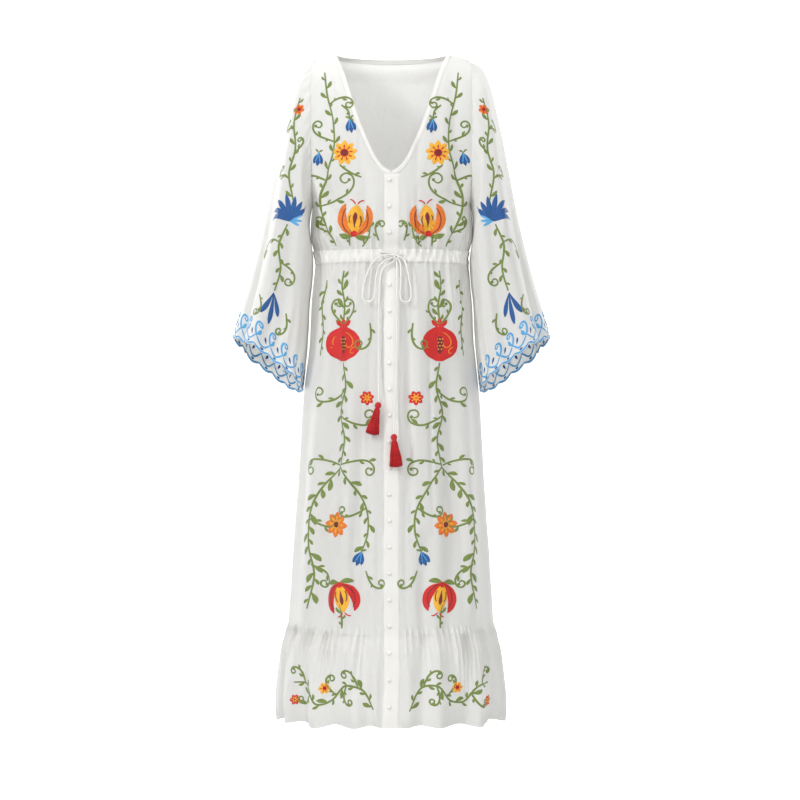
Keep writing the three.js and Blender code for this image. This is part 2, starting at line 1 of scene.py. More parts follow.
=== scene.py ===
import math
import bpy
import numpy as np
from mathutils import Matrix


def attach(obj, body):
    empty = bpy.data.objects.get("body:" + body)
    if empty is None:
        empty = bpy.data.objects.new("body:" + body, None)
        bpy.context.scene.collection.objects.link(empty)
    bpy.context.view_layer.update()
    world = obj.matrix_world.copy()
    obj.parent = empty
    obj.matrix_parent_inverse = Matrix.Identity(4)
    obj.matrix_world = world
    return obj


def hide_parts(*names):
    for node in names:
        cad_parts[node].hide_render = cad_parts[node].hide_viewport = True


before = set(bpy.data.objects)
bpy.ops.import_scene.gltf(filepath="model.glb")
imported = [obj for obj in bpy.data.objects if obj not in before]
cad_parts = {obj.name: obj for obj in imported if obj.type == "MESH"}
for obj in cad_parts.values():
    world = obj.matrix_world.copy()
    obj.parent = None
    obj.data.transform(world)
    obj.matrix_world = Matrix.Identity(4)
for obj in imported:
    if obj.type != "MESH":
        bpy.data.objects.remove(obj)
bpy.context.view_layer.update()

# A long white peasant dress, held hollow at its shoulders. Metres, +Z up, the front faces -Y, +X is the
# wearer's left. Every cloth panel is a thin shell on the form of its solid.

camera = {"place": (0.0176, -5.0, -0.716), "lens": 108.7}
cameraData = bpy.data.cameras.new("camera")
cameraData.lens = camera["lens"]
cameraObject = bpy.data.objects.new("camera", cameraData)
cameraObject.location = camera["place"]
cameraObject.rotation_euler = (math.pi / 2, 0, 0)
bpy.context.collection.objects.link(cameraObject)
bpy.context.scene.camera = cameraObject
sides = {"left": 1, "right": -1}


# meshes from grids of points

def gridFaces(rows, columns, wrap=False):
    # quads between neighbouring grid points; with wrap the last column joins the first
    across = np.arange(columns if wrap else columns - 1)
    down = np.arange(rows - 1)[:, None]
    a = down * columns + across
    b = down * columns + (across + 1) % columns
    return np.stack([a, a + columns, b + columns, b], axis=-1).reshape(-1, 4)


def gridCorners(uv):
    # the four uv values at each quad's corners, from a grid one column wider where the quads wrap
    return np.stack([uv[:-1, :-1], uv[1:, :-1], uv[1:, 1:], uv[:-1, 1:]], axis=2).reshape(-1, 2)


def addObject(name, vertices, faces, material, corners=None, sharp=None):
    mesh = bpy.data.meshes.new(name)
    mesh.from_pydata(np.asarray(vertices).reshape(-1, 3), [], faces)
    if corners is not None:
        layer = mesh.uv_layers.new(name="cloth")
        layer.data.foreach_set("uv", np.asarray(corners, dtype=np.float32).ravel())
    mesh.shade_smooth()
    if sharp:
        mesh.set_sharp_from_angle(angle=math.radians(sharp))
    mesh.materials.append(material)
    mesh.update()
    piece = bpy.data.objects.new(name, mesh)
    bpy.context.collection.objects.link(piece)
    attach(piece, "root")
    return piece


def unit(vectors):
    return vectors / np.maximum(np.linalg.norm(vectors, axis=-1, keepdims=True), 1e-12)


def together(*parts):
    # arrays brought to one shape, side by side on a new last axis
    return np.stack(np.broadcast_arrays(*parts), axis=-1)


def smoothstep(value, low, high):
    t = np.clip((value - low) / (high - low), 0, 1)
    return t * t * (3 - 2 * t)


def smoothPath(points, spacing):
    # a centripetal Catmull-Rom curve through given points, sampled evenly
    laid = np.array(points, dtype=float)
    laid = np.vstack([2 * laid[0] - laid[1], laid, 2 * laid[-1] - laid[-2]])
    gap = np.sqrt(np.linalg.norm(np.diff(laid, axis=0), axis=1))
    samples = 24
    t = np.linspace(0, 1, samples, endpoint=False)[:, None]
    pieces = []
    for i in range(1, len(laid) - 2):
        p0, p1, p2, p3 = laid[i - 1:i + 3]
        g0, g1, g2 = gap[i - 1:i + 2]
        leave = ((p1 - p0) / g0 - (p2 - p0) / (g0 + g1) + (p2 - p1) / g1) * g1
        arrive = ((p2 - p1) / g1 - (p3 - p1) / (g1 + g2) + (p3 - p2) / g2) * g1
        ease = t * t * (3 - 2 * t)
        pieces.append(p1 + (p2 - p1) * ease + leave * t * (1 - t) ** 2 + arrive * t * t * (t - 1))
    return resample(np.vstack(pieces + [laid[-2:-1]]), spacing)


def lengthsOn(path):
    # the length of path up to each of its points
    return np.concatenate([[0], np.cumsum(np.linalg.norm(np.diff(path, axis=0), axis=1))])


def resample(path, spacing):
    # the same path in even steps, by straight lines between its points
    along = lengthsOn(path)
    even = np.linspace(0, along[-1], max(4, int(round(along[-1] / spacing)) + 1))
    return np.stack([np.interp(even, along, path[:, k]) for k in range(path.shape[1])], axis=1)


def pathLength(path):
    return float(np.linalg.norm(np.diff(path, axis=0), axis=1).sum())


# materials: node helpers, the shared groups and the finishes

def node(tree, kind, values=None, **settings):
    # values go into the node's inputs: an output of another node is linked, anything else is set
    made = tree.nodes.new(kind)
    for key, value in settings.items():
        setattr(made, key, value)
    for key, value in (values or {}).items():
        if isinstance(value, bpy.types.NodeSocket):
            tree.links.new(value, made.inputs[key])
        else:
            made.inputs[key].default_value = value
    return made


def newGroup(name, inputs, outputs):
    tree = bpy.data.node_groups.new(name, "ShaderNodeTree")
    for socketName, kind, value in inputs:
        socket = tree.interface.new_socket(name=socketName, in_out="INPUT", socket_type=kind)
        socket.default_value = value
    for socketName, kind in outputs:
        tree.interface.new_socket(name=socketName, in_out="OUTPUT", socket_type=kind)
    return tree, tree.nodes.new("NodeGroupInput"), tree.nodes.new("NodeGroupOutput")


def wave(tree, value, pitch):
    # 0 to 1 and back once a pitch
    turns = node(tree, "ShaderNodeMath", {0: value, 1: pitch}, operation="DIVIDE")
    angle = node(tree, "ShaderNodeMath", {0: turns.outputs[0], 1: 2 * math.pi}, operation="MULTIPLY")
    sine = node(tree, "ShaderNodeMath", {0: angle.outputs[0]}, operation="SINE")
    raised = node(tree, "ShaderNodeMath", {0: sine.outputs[0], 1: 0.5, 2: 0.5}, operation="MULTIPLY_ADD")
    return raised.outputs[0]


weaveLook = {
    "slub": (900, 60, 1), "slubDetail": 3.0, "darkest": 0.955,
    "crumple": 26.0, "crumpleDetail": 4.0, "crumpleRoughness": 0.55, "crumpleBend": 0.6,
}


def makeWeave():
    # plain weave: warp and weft waves multiplied, uneven where the yarn is thick or thin, and a soft crumple
    tree, given, result = newGroup("weave", [
        ("Vector", "NodeSocketVector", (0, 0, 0)), ("Place", "NodeSocketVector", (0, 0, 0)),
        ("Pitch", "NodeSocketFloat", 0.0006), ("Color", "NodeSocketColor", (0.8, 0.8, 0.8, 1)),
    ], [("Color", "NodeSocketColor"), ("Height", "NodeSocketFloat"), ("Crumple", "NodeSocketFloat")])
    split = node(tree, "ShaderNodeSeparateXYZ", {0: given.outputs["Vector"]})
    warp = wave(tree, split.outputs["X"], given.outputs["Pitch"])
    weft = wave(tree, split.outputs["Y"], given.outputs["Pitch"])
    yarns = node(tree, "ShaderNodeMath", {0: warp, 1: weft}, operation="MULTIPLY")
    stretched = node(tree, "ShaderNodeMapping",
                     {"Vector": given.outputs["Vector"], "Scale": weaveLook["slub"]})
    slub = node(tree, "ShaderNodeTexNoise",
                {"Vector": stretched.outputs[0], "Scale": 1.0, "Detail": weaveLook["slubDetail"]})
    height = node(tree, "ShaderNodeMath", {0: yarns.outputs[0], 1: slub.outputs[0]}, operation="ADD")
    crumple = node(tree, "ShaderNodeTexNoise", {
        "Vector": given.outputs["Place"], "Scale": weaveLook["crumple"],
        "Detail": weaveLook["crumpleDetail"], "Roughness": weaveLook["crumpleRoughness"],
        "Distortion": weaveLook["crumpleBend"],
    })
    shade = node(tree, "ShaderNodeMapRange",
                 {0: slub.outputs[0], 1: 0.3, 2: 0.7, 3: weaveLook["darkest"], 4: 1.0})
    color = node(tree, "ShaderNodeMix", {0: 1.0, 6: given.outputs["Color"], 7: shade.outputs[0]},
                 data_type="RGBA", blend_type="MULTIPLY")
    tree.links.new(color.outputs[2], result.inputs["Color"])
    tree.links.new(height.outputs[0], result.inputs["Height"])
    tree.links.new(crumple.outputs[0], result.inputs["Crumple"])
    return tree


threadLook = {"slant": 0.35, "strands": (1100, 90, 1), "strandsDetail": 2.0, "ridge": 0.45}


def makeThreads():
    # satin threads lying across the stitch: ridges along u, each a little lighter or darker at random, with
    # painted shade in the grooves between them
    tree, given, result = newGroup("threads", [
        ("Vector", "NodeSocketVector", (0, 0, 0)), ("Pitch", "NodeSocketFloat", 0.0007),
        ("Color", "NodeSocketColor", (0.8, 0.8, 0.8, 1)), ("PaintedShade", "NodeSocketColor", (0.4, 0.4, 0.4, 1)),
    ], [("Color", "NodeSocketColor"), ("Height", "NodeSocketFloat")])
    split = node(tree, "ShaderNodeSeparateXYZ", {0: given.outputs["Vector"]})
    slant = node(tree, "ShaderNodeMath",
                 {0: split.outputs["Y"], 1: threadLook["slant"], 2: split.outputs["X"]},
                 operation="MULTIPLY_ADD")
    ridge = wave(tree, slant.outputs[0], given.outputs["Pitch"])
    stretched = node(tree, "ShaderNodeMapping",
                     {"Vector": given.outputs["Vector"], "Scale": threadLook["strands"]})
    strands = node(tree, "ShaderNodeTexNoise",
                   {"Vector": stretched.outputs[0], "Scale": 1.0, "Detail": threadLook["strandsDetail"]})
    mixed = node(tree, "ShaderNodeMath", {0: ridge, 1: threadLook["ridge"], 2: strands.outputs[0]},
                 operation="MULTIPLY_ADD")
    share = node(tree, "ShaderNodeMapRange", {0: mixed.outputs[0], 1: 0.35, 2: 1.0, 3: 0.0, 4: 1.0})
    # the mix paints shade into the grooves between the ridges, and the strands' noise adds a random tone
    color = node(tree, "ShaderNodeMix",
                 {0: share.outputs[0], 6: given.outputs["PaintedShade"], 7: given.outputs["Color"]},
                 data_type="RGBA")
    tree.links.new(color.outputs[2], result.inputs["Color"])
    tree.links.new(ridge, result.inputs["Height"])
    return tree


weaveGroup = makeWeave()
threadGroup = makeThreads()


def newMaterial(name, **shader):
    material = bpy.data.materials.new(name)
    material.use_nodes = True
    principled = material.node_tree.nodes["Principled BSDF"]
    for key, value in shader.items():
        principled.inputs[key.replace("_", " ")].default_value = value
    return material, material.node_tree, principled


def clothMaterial(name, color, pitch, crumple, roughness=0.85, sheen=0.15, depth=0.00012, through=0.65):
    # the thin cloth lets some light through, as a short scattering inside its wall
    material, tree, principled = newMaterial(
        name, Roughness=roughness, Sheen_Weight=sheen, Sheen_Roughness=0.6, Specular_IOR_Level=0.2,
        Subsurface_Weight=through, Subsurface_Scale=0.004, Subsurface_Radius=(1.0, 1.0, 1.0))
    uv = node(tree, "ShaderNodeUVMap", uv_map="cloth")
    place = node(tree, "ShaderNodeTexCoord")
    given = {"Vector": uv.outputs[0], "Place": place.outputs["Object"], "Pitch": pitch, "Color": (*color, 1)}
    weave = node(tree, "ShaderNodeGroup", given, node_tree=weaveGroup)
    soft = node(tree, "ShaderNodeBump",
                {"Height": weave.outputs["Crumple"], "Distance": crumple, "Strength": 1.0})
    fine = node(tree, "ShaderNodeBump", {
        "Height": weave.outputs["Height"], "Distance": depth, "Strength": 0.8, "Normal": soft.outputs[0]})
    tree.links.new(weave.outputs["Color"], principled.inputs["Base Color"])
    tree.links.new(fine.outputs[0], principled.inputs["Normal"])
    return material


def threadMaterial(name, color, paintedShade, pitch=0.0007, roughness=0.5, sheen=0.15):
    # thread from its own color to painted shade in the grooves between its strands
    material, tree, principled = newMaterial(
        name, Roughness=roughness, Sheen_Weight=sheen, Sheen_Roughness=0.4, Specular_IOR_Level=0.35)
    uv = node(tree, "ShaderNodeUVMap", uv_map="cloth")
    given = {"Vector": uv.outputs[0], "Pitch": pitch, "Color": (*color, 1), "PaintedShade": (*paintedShade, 1)}
    laid = node(tree, "ShaderNodeGroup", given, node_tree=threadGroup)
    bump = node(tree, "ShaderNodeBump",
                {"Height": laid.outputs["Height"], "Distance": 0.0002, "Strength": 0.7})
    tree.links.new(laid.outputs["Color"], principled.inputs["Base Color"])
    tree.links.new(bump.outputs[0], principled.inputs["Normal"])
    return material


cotton = clothMaterial("cotton", (0.80, 0.795, 0.762), 0.0006, 0.0018)
foldedCotton = clothMaterial("foldedCotton", (0.80, 0.793, 0.760), 0.0006, 0.0008, through=0.5)
# the buttons' cotton is a little darker than the rest: painted shade on the covered domes
shadedButtonCotton = clothMaterial("shadedButtonCotton", (0.78, 0.773, 0.742), 0.0005, 0.0, depth=0.00008, through=0.2)
# each thread's second color is painted shade in the grooves between its strands
cordCotton = threadMaterial("cordCotton", (0.86, 0.855, 0.83), (0.66, 0.65, 0.62), pitch=0.0009,
                            roughness=0.8)
sewingThread = threadMaterial("sewingThread", (0.84, 0.84, 0.82), (0.68, 0.68, 0.66), pitch=0.0005)
tasselThread = threadMaterial("tasselThread", (0.62, 0.006, 0.010), (0.28, 0.002, 0.004), pitch=0.0009,
                              sheen=0.05)
# embroidery threads: the color of each and the painted shade between its strands
threadColorsAndShade = {
    "green": ((0.20, 0.27, 0.055), (0.10, 0.15, 0.03)),
    "yellow": ((0.90, 0.50, 0.035), (0.70, 0.30, 0.015)),
    "orange": ((0.82, 0.22, 0.02), (0.55, 0.10, 0.01)),
    "red": ((0.66, 0.016, 0.012), (0.40, 0.006, 0.006)),
    "maroon": ((0.20, 0.012, 0.016), (0.09, 0.005, 0.008)),
    "blue": ((0.015, 0.11, 0.35), (0.004, 0.035, 0.14)),
    "lightBlue": ((0.12, 0.43, 0.74), (0.06, 0.28, 0.56)),
}
threads = {name: threadMaterial(name + "Thread", *pair) for name, pair in threadColorsAndShade.items()}
print("materials made")


# the drawstring: one cord tied in a bow, and its two tassels

cord = {
    "radius": 0.00175, "pitch": 0.007, "step": 0.0009, "sides": 18,
    # shares of the radius: between its strands, how far a strand swells out, and at the cord's ends
    "core": 0.86, "strand": 0.2, "end": 0.6,
}
knot = {
    "centre": (0.009, -0.0975, -0.426), "across": 0.0062, "thick": 0.0042, "rise": 0.0016, "stations": 40,
    "sides": 12,
    "wraps": [
        {"wide": 0.0040, "tall": 0.0046, "turn": 20, "tip": 8, "shift": (-0.0010, 0.0002, 0.0006)},
        {"wide": 0.0036, "tall": 0.0042, "turn": 100, "tip": -12, "shift": (0.0012, -0.0008, -0.0008)},
        {"wide": 0.0030, "tall": 0.0036, "turn": 60, "tip": 30, "shift": (0.0002, 0.0004, 0.0002)},
    ],
}
# the points that each stretch of the cord passes through
routes = {
    "lead_left": [
        (0.0226, -0.0916, -0.4196), (0.0204, -0.0924, -0.4198), (0.0178, -0.094, -0.4206),
        (0.015, -0.0958, -0.422), (0.012, -0.0968, -0.424),
    ],
    "lead_right": [
        (-0.021, -0.0918, -0.415), (-0.0186, -0.0934, -0.4152), (-0.0154, -0.0944, -0.4156),
        (-0.011, -0.095, -0.4162), (-0.006, -0.0954, -0.417), (-0.001, -0.0954, -0.4176),
        (0.003, -0.0958, -0.4196), (0.007, -0.0968, -0.424),
    ],
    "loop_left": [
        (0.01, -0.098, -0.4276), (0.0142, -0.0988, -0.4304), (0.017, -0.0996, -0.435),
        (0.0188, -0.1014, -0.443), (0.0194, -0.1042, -0.454), (0.0192, -0.1076, -0.468),
        (0.0186, -0.111, -0.484), (0.018, -0.1136, -0.5), (0.0186, -0.115, -0.51),
        (0.0224, -0.1158, -0.516), (0.0296, -0.116, -0.5174), (0.0368, -0.115, -0.5148),
        (0.04, -0.113, -0.507), (0.0396, -0.1108, -0.495), (0.0374, -0.1076, -0.478),
        (0.0342, -0.1044, -0.46), (0.0306, -0.1016, -0.445), (0.0264, -0.1, -0.433),
        (0.0216, -0.0994, -0.427), (0.0168, -0.099, -0.4254), (0.0114, -0.0982, -0.4256),
    ],
    "loop_right": [
        (0.007, -0.098, -0.4266), (0.002, -0.0988, -0.4272), (-0.004, -0.099, -0.4286),
        (-0.01, -0.0984, -0.431), (-0.017, -0.098, -0.4354), (-0.0234, -0.099, -0.443),
        (-0.0284, -0.102, -0.455), (-0.0314, -0.106, -0.47), (-0.033, -0.1098, -0.486),
        (-0.034, -0.1126, -0.5), (-0.036, -0.1142, -0.51), (-0.0416, -0.1146, -0.516),
        (-0.049, -0.114, -0.5176), (-0.0554, -0.1126, -0.514), (-0.058, -0.1104, -0.506),
        (-0.0572, -0.1076, -0.492), (-0.0536, -0.1036, -0.474), (-0.0478, -0.0998, -0.456),
        (-0.0396, -0.0974, -0.44), (-0.029, -0.0972, -0.4284), (-0.018, -0.0992, -0.4226),
        (-0.008, -0.1008, -0.421), (0.0, -0.101, -0.4214), (0.0056, -0.099, -0.4242),
    ],
    "tail_left": [
        (0.0096, -0.0976, -0.43), (0.0106, -0.098, -0.436), (0.011, -0.0986, -0.443),
        (0.0112, -0.1006, -0.455), (0.0114, -0.104, -0.47), (0.0116, -0.1082, -0.492),
        (0.0116, -0.1114, -0.515), (0.0114, -0.1142, -0.545), (0.0112, -0.1172, -0.58),
        (0.0104, -0.12, -0.62), (0.0094, -0.123, -0.66), (0.008, -0.1266, -0.7),
        (0.0064, -0.131, -0.735), (0.0054, -0.1356, -0.76), (0.0051, -0.1398, -0.776),
        (0.005, -0.142, -0.786),
    ],
    "tail_right": [
        (0.0074, -0.0976, -0.4294), (0.0044, -0.0974, -0.4344), (-0.001, -0.0968, -0.4384),
        (-0.007, -0.0966, -0.4416), (-0.013, -0.0974, -0.446), (-0.018, -0.0994, -0.453),
        (-0.0214, -0.1026, -0.464), (-0.0234, -0.1064, -0.48), (-0.0246, -0.1098, -0.5),
        (-0.0254, -0.113, -0.53), (-0.0258, -0.1162, -0.565), (-0.026, -0.1194, -0.605),
        (-0.026, -0.123, -0.645), (-0.0258, -0.1276, -0.68), (-0.0254, -0.1322, -0.704),
        (-0.0252, -0.1352, -0.722),
    ],
}


def twistedTube(path, around):
    # a three-strand cord: round the path the radius swells three times, and the swellings turn once a pitch
    radius = cord["radius"]
    tangent = unit(np.gradient(path, axis=0))
    first = unit(np.cross(tangent, (0.0, 1.0, 0.0)))
    second = np.cross(first, tangent)
    along = lengthsOn(path)[:, None]
    angle = np.arange(around) * 2 * math.pi / around
    strands = np.abs(np.cos(1.5 * angle - 3 * math.pi * along / cord["pitch"]))
    swell = radius * (cord["core"] + cord["strand"] * strands)
    swell[[0, -1]] *= cord["end"]
    ring = np.cos(angle)[:, None] * first[:, None] + np.sin(angle)[:, None] * second[:, None]
    points = path[:, None] + swell[..., None] * ring
    uvAngle = np.arange(around + 1) / around * 2 * math.pi * radius
    return points, together(along, uvAngle[None])


def closedTube(points, uv):
    # the tube's own quads, and a fan of triangles on a middle point at each end
    rows, columns = points.shape[:2]
    faces = gridFaces(rows, columns, wrap=True).tolist()
    ends = [points[0].mean(axis=0), points[-1].mean(axis=0)]
    first = rows * columns
    ring = np.arange(columns)
    following = (ring + 1) % columns
    last = (rows - 1) * columns
    caps = [[first, int(a), int(b)] for a, b in zip(ring, following)]
    caps += [[first + 1, last + int(b), last + int(a)] for a, b in zip(ring, following)]
    vertices = np.vstack([points.reshape(-1, 3), ends])
    corners = np.vstack([gridCorners(uv), np.zeros((6 * columns, 2))])
    return vertices, faces + caps, corners


def joined(parts):
    # the vertices, faces and uv corners of several meshes as one
    vertices, faces, corners = [], [], []
    total = 0
    for partVertices, partFaces, partCorners in parts:
        faces += [[corner + total for corner in face] for face in partFaces]
        total += len(partVertices)
        vertices.append(partVertices)
        corners.append(partCorners)
    return np.vstack(vertices), faces, np.vstack(corners)


def outsideKnot(path):
    # the stretch of a path that shows, from just under the knot's face on
    reach = np.array([knot["across"], knot["thick"], knot["across"]])
    underFace = 0.8
    shown = np.flatnonzero((((path - knot["centre"]) / reach) ** 2).sum(axis=1) > underFace)
    return path[shown[0]:shown[-1] + 1]


cordPaths = {name: outsideKnot(smoothPath(points, cord["step"])) for name, points in routes.items()}
cordPieces = {}
for name, path in cordPaths.items():
    vertices, faces, corners = closedTube(*twistedTube(path, cord["sides"]))
    cordPieces[name] = addObject(name + "_cord", vertices, faces, cordCotton, corners)
    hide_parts(name)


def makeKnot():
    # tight wraps of the cord round the crossing, each an oval ring turned its own way
    parts = []
    angle = np.linspace(0, 2 * math.pi, knot["stations"])
    for wrap in knot["wraps"]:
        turn, tip = math.radians(wrap["turn"]), math.radians(wrap["tip"])
        u = wrap["wide"] * np.cos(angle)
        w = wrap["tall"] * np.sin(angle)
        x = u * math.cos(turn) - w * math.sin(turn)
        z = u * math.sin(turn) + w * math.cos(turn)
        y = knot["rise"] * np.cos(2 * angle) + u * math.sin(tip)
        path = np.stack([x, y, z], axis=1) + knot["centre"] + wrap["shift"]
        parts.append(closedTube(*twistedTube(path, knot["sides"])))
    vertices, faces, corners = joined(parts)
    piece = addObject("knot_wraps", vertices, faces, cordCotton, corners)
    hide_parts("bow_knot")
    return piece


tassel = {
    "length": 0.070, "headRadius": 0.0068, "headLength": 0.017, "headRings": 40, "headSides": 28,
    "binding": 0.00025, "neckHalf": 0.0042, "neckShare": 0.86, "halfWidth": 0.0135, "halfDepth": 0.006,
    "strands": 124, "strandRadius": 0.00078, "stations": 9, "ragged": 0.003, "wave": 0.0007,
    # the head's radius and depth, as shares of the greatest
    "profile": [(0.12, 0.0), (0.36, 0.03), (0.78, 0.16), (1.0, 0.46), (0.86, 0.62), (0.66, 0.72),
                (0.70, 0.86), (0.80, 1.0), (0.5, 1.04), (0.12, 1.04)],
    "left": {"top": (0.005, -0.142, -0.784), "lean": 4, "seed": 7},
    "right": {"top": (-0.0252, -0.1352, -0.720), "lean": -12, "seed": 8},
}
# radians, so that the strands spread evenly
goldenAngle = 2.39996


def tasselHead():
    # a wound profile of revolution: the radius runs along the profile with a fine ripple of binding thread
    rings, around = tassel["headRings"], tassel["headSides"]
    share = np.linspace(0, 1, rings)
    keys = np.linspace(0, 1, len(tassel["profile"]))
    wide, deep = np.array(tassel["profile"]).T
    radius = np.interp(share, keys, wide) * tassel["headRadius"]
    radius += tassel["binding"] * np.sin(share * 95) * (radius > 0.002)
    height = -np.interp(share, keys, deep) * tassel["headLength"]
    angle = np.arange(around) * 2 * math.pi / around
    head = together(radius[:, None] * np.cos(angle), radius[:, None] * np.sin(angle), height[:, None])
    return closedTube(head, together(height[:, None], np.arange(around + 1)[None] * 0.0015))


def tasselStrands(seed):
    # square strands from the neck to ragged ends: their centres lie on a sunflower spiral that widens on the
    # way down, and each is a little wavy
    count, stations = tassel["strands"], tassel["stations"]
    chance = np.random.default_rng(seed)
    ring = np.sqrt((np.arange(count) + 0.5) / count)
    turn = np.arange(count) * goldenAngle
    spread = np.stack([ring * np.cos(turn), ring * np.sin(turn)], axis=1)
    t = np.linspace(0, 1, stations)[None]
    shorter = chance.uniform(0, tassel["ragged"], count)
    ends = tassel["length"] - 0.0015 - shorter - 0.002 * np.abs(spread[:, 0])
    neckDrop = tassel["neckShare"] * tassel["headLength"]
    drop = neckDrop + (ends[:, None] - neckDrop) * t
    across = tassel["neckHalf"] + (tassel["halfWidth"] - tassel["neckHalf"]) * t ** 0.8
    through = tassel["neckHalf"] + (tassel["halfDepth"] - tassel["neckHalf"]) * t
    wavy = tassel["wave"] * np.sin(6 * t + chance.uniform(0, 6.3, count)[:, None])
    centre = together(spread[:, :1] * across + wavy, spread[:, 1:] * through + 0.5 * wavy, -drop)
    corner = np.arange(4) * math.pi / 2
    thick = tassel["strandRadius"] * np.array([1.0] * (stations - 1) + [0.55])
    square = np.stack([np.cos(corner), np.sin(corner), 0 * corner], axis=1)
    points = centre[:, :, None] + thick[None, :, None, None] * square
    base = np.arange(4)
    faces = np.vstack([gridFaces(stations, 4, wrap=True), base, base[::-1] + 4 * (stations - 1)])
    faces = faces[None] + np.arange(count)[:, None, None] * 4 * stations
    uv = together(drop[0][:, None] * 0.1, np.arange(5)[None] * 0.004)
    corners = np.vstack([gridCorners(uv), np.zeros((8, 2))])
    return points.reshape(-1, 3), faces.reshape(-1, 4).tolist(), np.tile(corners, (count, 1))


def makeTassel(side):
    # hung from its top and leant in the plane of the front
    place = tassel[side]
    vertices, faces, corners = joined([tasselHead(), tasselStrands(place["seed"])])
    lean = math.radians(place["lean"])
    swing = np.array([[math.cos(lean), 0, -math.sin(lean)], [0, 1, 0], [math.sin(lean), 0, math.cos(lean)]])
    vertices = vertices @ swing.T + place["top"]
    piece = addObject("tassel_" + side + "_threads", vertices, faces, tasselThread, corners)
    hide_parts("tassel_" + side)
    return piece


knotPiece = makeKnot()
tasselPieces = {side: makeTassel(side) for side in sides}
# the pieces that each stretch carries with it
onCord = {
    "loop_left": [knotPiece, cordPieces["lead_left"]], "loop_right": [cordPieces["lead_right"]],
    "tail_left": [tasselPieces["left"]], "tail_right": [tasselPieces["right"]],
}
for name, carried in onCord.items():
    path = cordPaths[name]
print("drawstring made")


# the dress's form: the solids' own sections, read along smooth curves

# the gap between two pieces at a seam, and how far a strip stands out from the cloth
seam = 0.0004
proud = 0.0008
waist = {"top": -0.408, "bottom": -0.436}
placket = {"top": -0.2604, "half": 0.017}
skirtBottom = -1.19
flounceTop = -1.1904
hem = -1.372
# half width, and depth before and behind the middle, at each height
torso = {
    "z": [0, -0.1, -0.2, -0.315, -0.35, -0.385, -0.408, -0.436, -0.47, -0.52, -0.602, -0.71, -0.861, -0.99,
          -1.131, -1.19, -1.225, -1.304, -1.345, -1.372],
    "half": [0.165, 0.1644, 0.1638, 0.163, 0.165, 0.164, 0.156, 0.155, 0.158, 0.163, 0.167, 0.179, 0.188,
             0.198, 0.208, 0.214, 0.224, 0.232, 0.233, 0.23],
    "front": [0.104, 0.106, 0.108, 0.105, 0.102, 0.099, 0.09, 0.089, 0.095, 0.104, 0.113, 0.121, 0.131,
              0.138, 0.146, 0.15, 0.157, 0.167, 0.173, 0.175],
    "back": [0.084, 0.09, 0.091, 0.087, 0.085, 0.082, 0.076, 0.075, 0.085, 0.1, 0.116, 0.124, 0.132, 0.139,
             0.147, 0.151, 0.158, 0.168, 0.174, 0.176],
}
# how deep each kind of fold is at each height
foldSize = {
    "z": [-0.29, -0.35, -0.408, -0.437, -0.5, -0.8, -1.188, -1.192, -1.26, -1.372],
    "gathers": [0, 0.0016, 0.002, 0.0008, 0.0006, 0, 0, 0, 0, 0],
    "long": [0, 0, 0, 0.0012, 0.004, 0.005, 0.005, 0.0036, 0.002, 0.0005],
    "fine": [0, 0, 0, 0, 0, 0, 0.0006, 0.002, 0.0014, 0.0006],
    "wave": [0, 0, 0, 0, 0, 0, 0, 0.0006, 0.004, 0.008],
}


def readTable(table, column, at, key="z"):
    # cubic Hermite curve through the rows: slopes are central differences, one-sided at the ends
    keys = np.array(table[key], dtype=float)
    values = np.array(table[column], dtype=float)
    if keys[0] > keys[-1]:
        keys, values = keys[::-1], values[::-1]
    slopes = np.empty_like(values)
    slopes[1:-1] = (values[2:] - values[:-2]) / (keys[2:] - keys[:-2])
    slopes[0] = (values[1] - values[0]) / (keys[1] - keys[0])
    slopes[-1] = (values[-1] - values[-2]) / (keys[-1] - keys[-2])
    i = np.clip(np.searchsorted(keys, at) - 1, 0, len(keys) - 2)
    span = keys[i + 1] - keys[i]
    t = np.clip((at - keys[i]) / span, 0, 1)
    curve = values[i] + (values[i + 1] - values[i]) * t * t * (3 - 2 * t)
    return curve + slopes[i] * span * t * (1 - t) ** 2 + slopes[i + 1] * span * t * t * (t - 1)


def hemLobes(angle):
    # fifteen waves of uneven width round the body
    return np.sin(15 * angle + 0.8 * np.sin(2 * angle + 0.6) + 0.4)


def mainFold(angle, z):
    # the solids' folds: sines round the body whose depths change with height
    gathers = np.sin(20 * angle + 0.5 * np.sin(3 * angle + 1))
    long = 0.6 * np.sin(13 * angle + 0.9 * np.sin(2 * angle + 1) - z / 0.42)
    long = long + 0.4 * np.sin(9 * angle + 1.3 + 1.1 * np.sin(3 * angle) + z / 0.6)
    fine = np.sin(30 * angle + 0.7 * np.sin(4 * angle))
    parts = {"gathers": gathers, "long": long, "fine": fine, "wave": hemLobes(angle)}
    return sum(readTable(foldSize, name, z) * height for name, height in parts.items())


# gathers run out from a seam; count is round the whole body, reach is how far they go
gatherRows = {
    "bodice": {"seam": waist["top"], "down": -1, "count": 62, "depth": 0.0030, "reach": 0.050, "shift": 0.4},
    "skirt": {"seam": waist["bottom"], "down": 1, "count": 58, "depth": 0.0027, "reach": 0.07, "shift": 1.9},
    "flounce": {"seam": flounceTop, "down": 1, "count": 112, "depth": 0.0031, "reach": 0.058, "shift": 3.1},
}


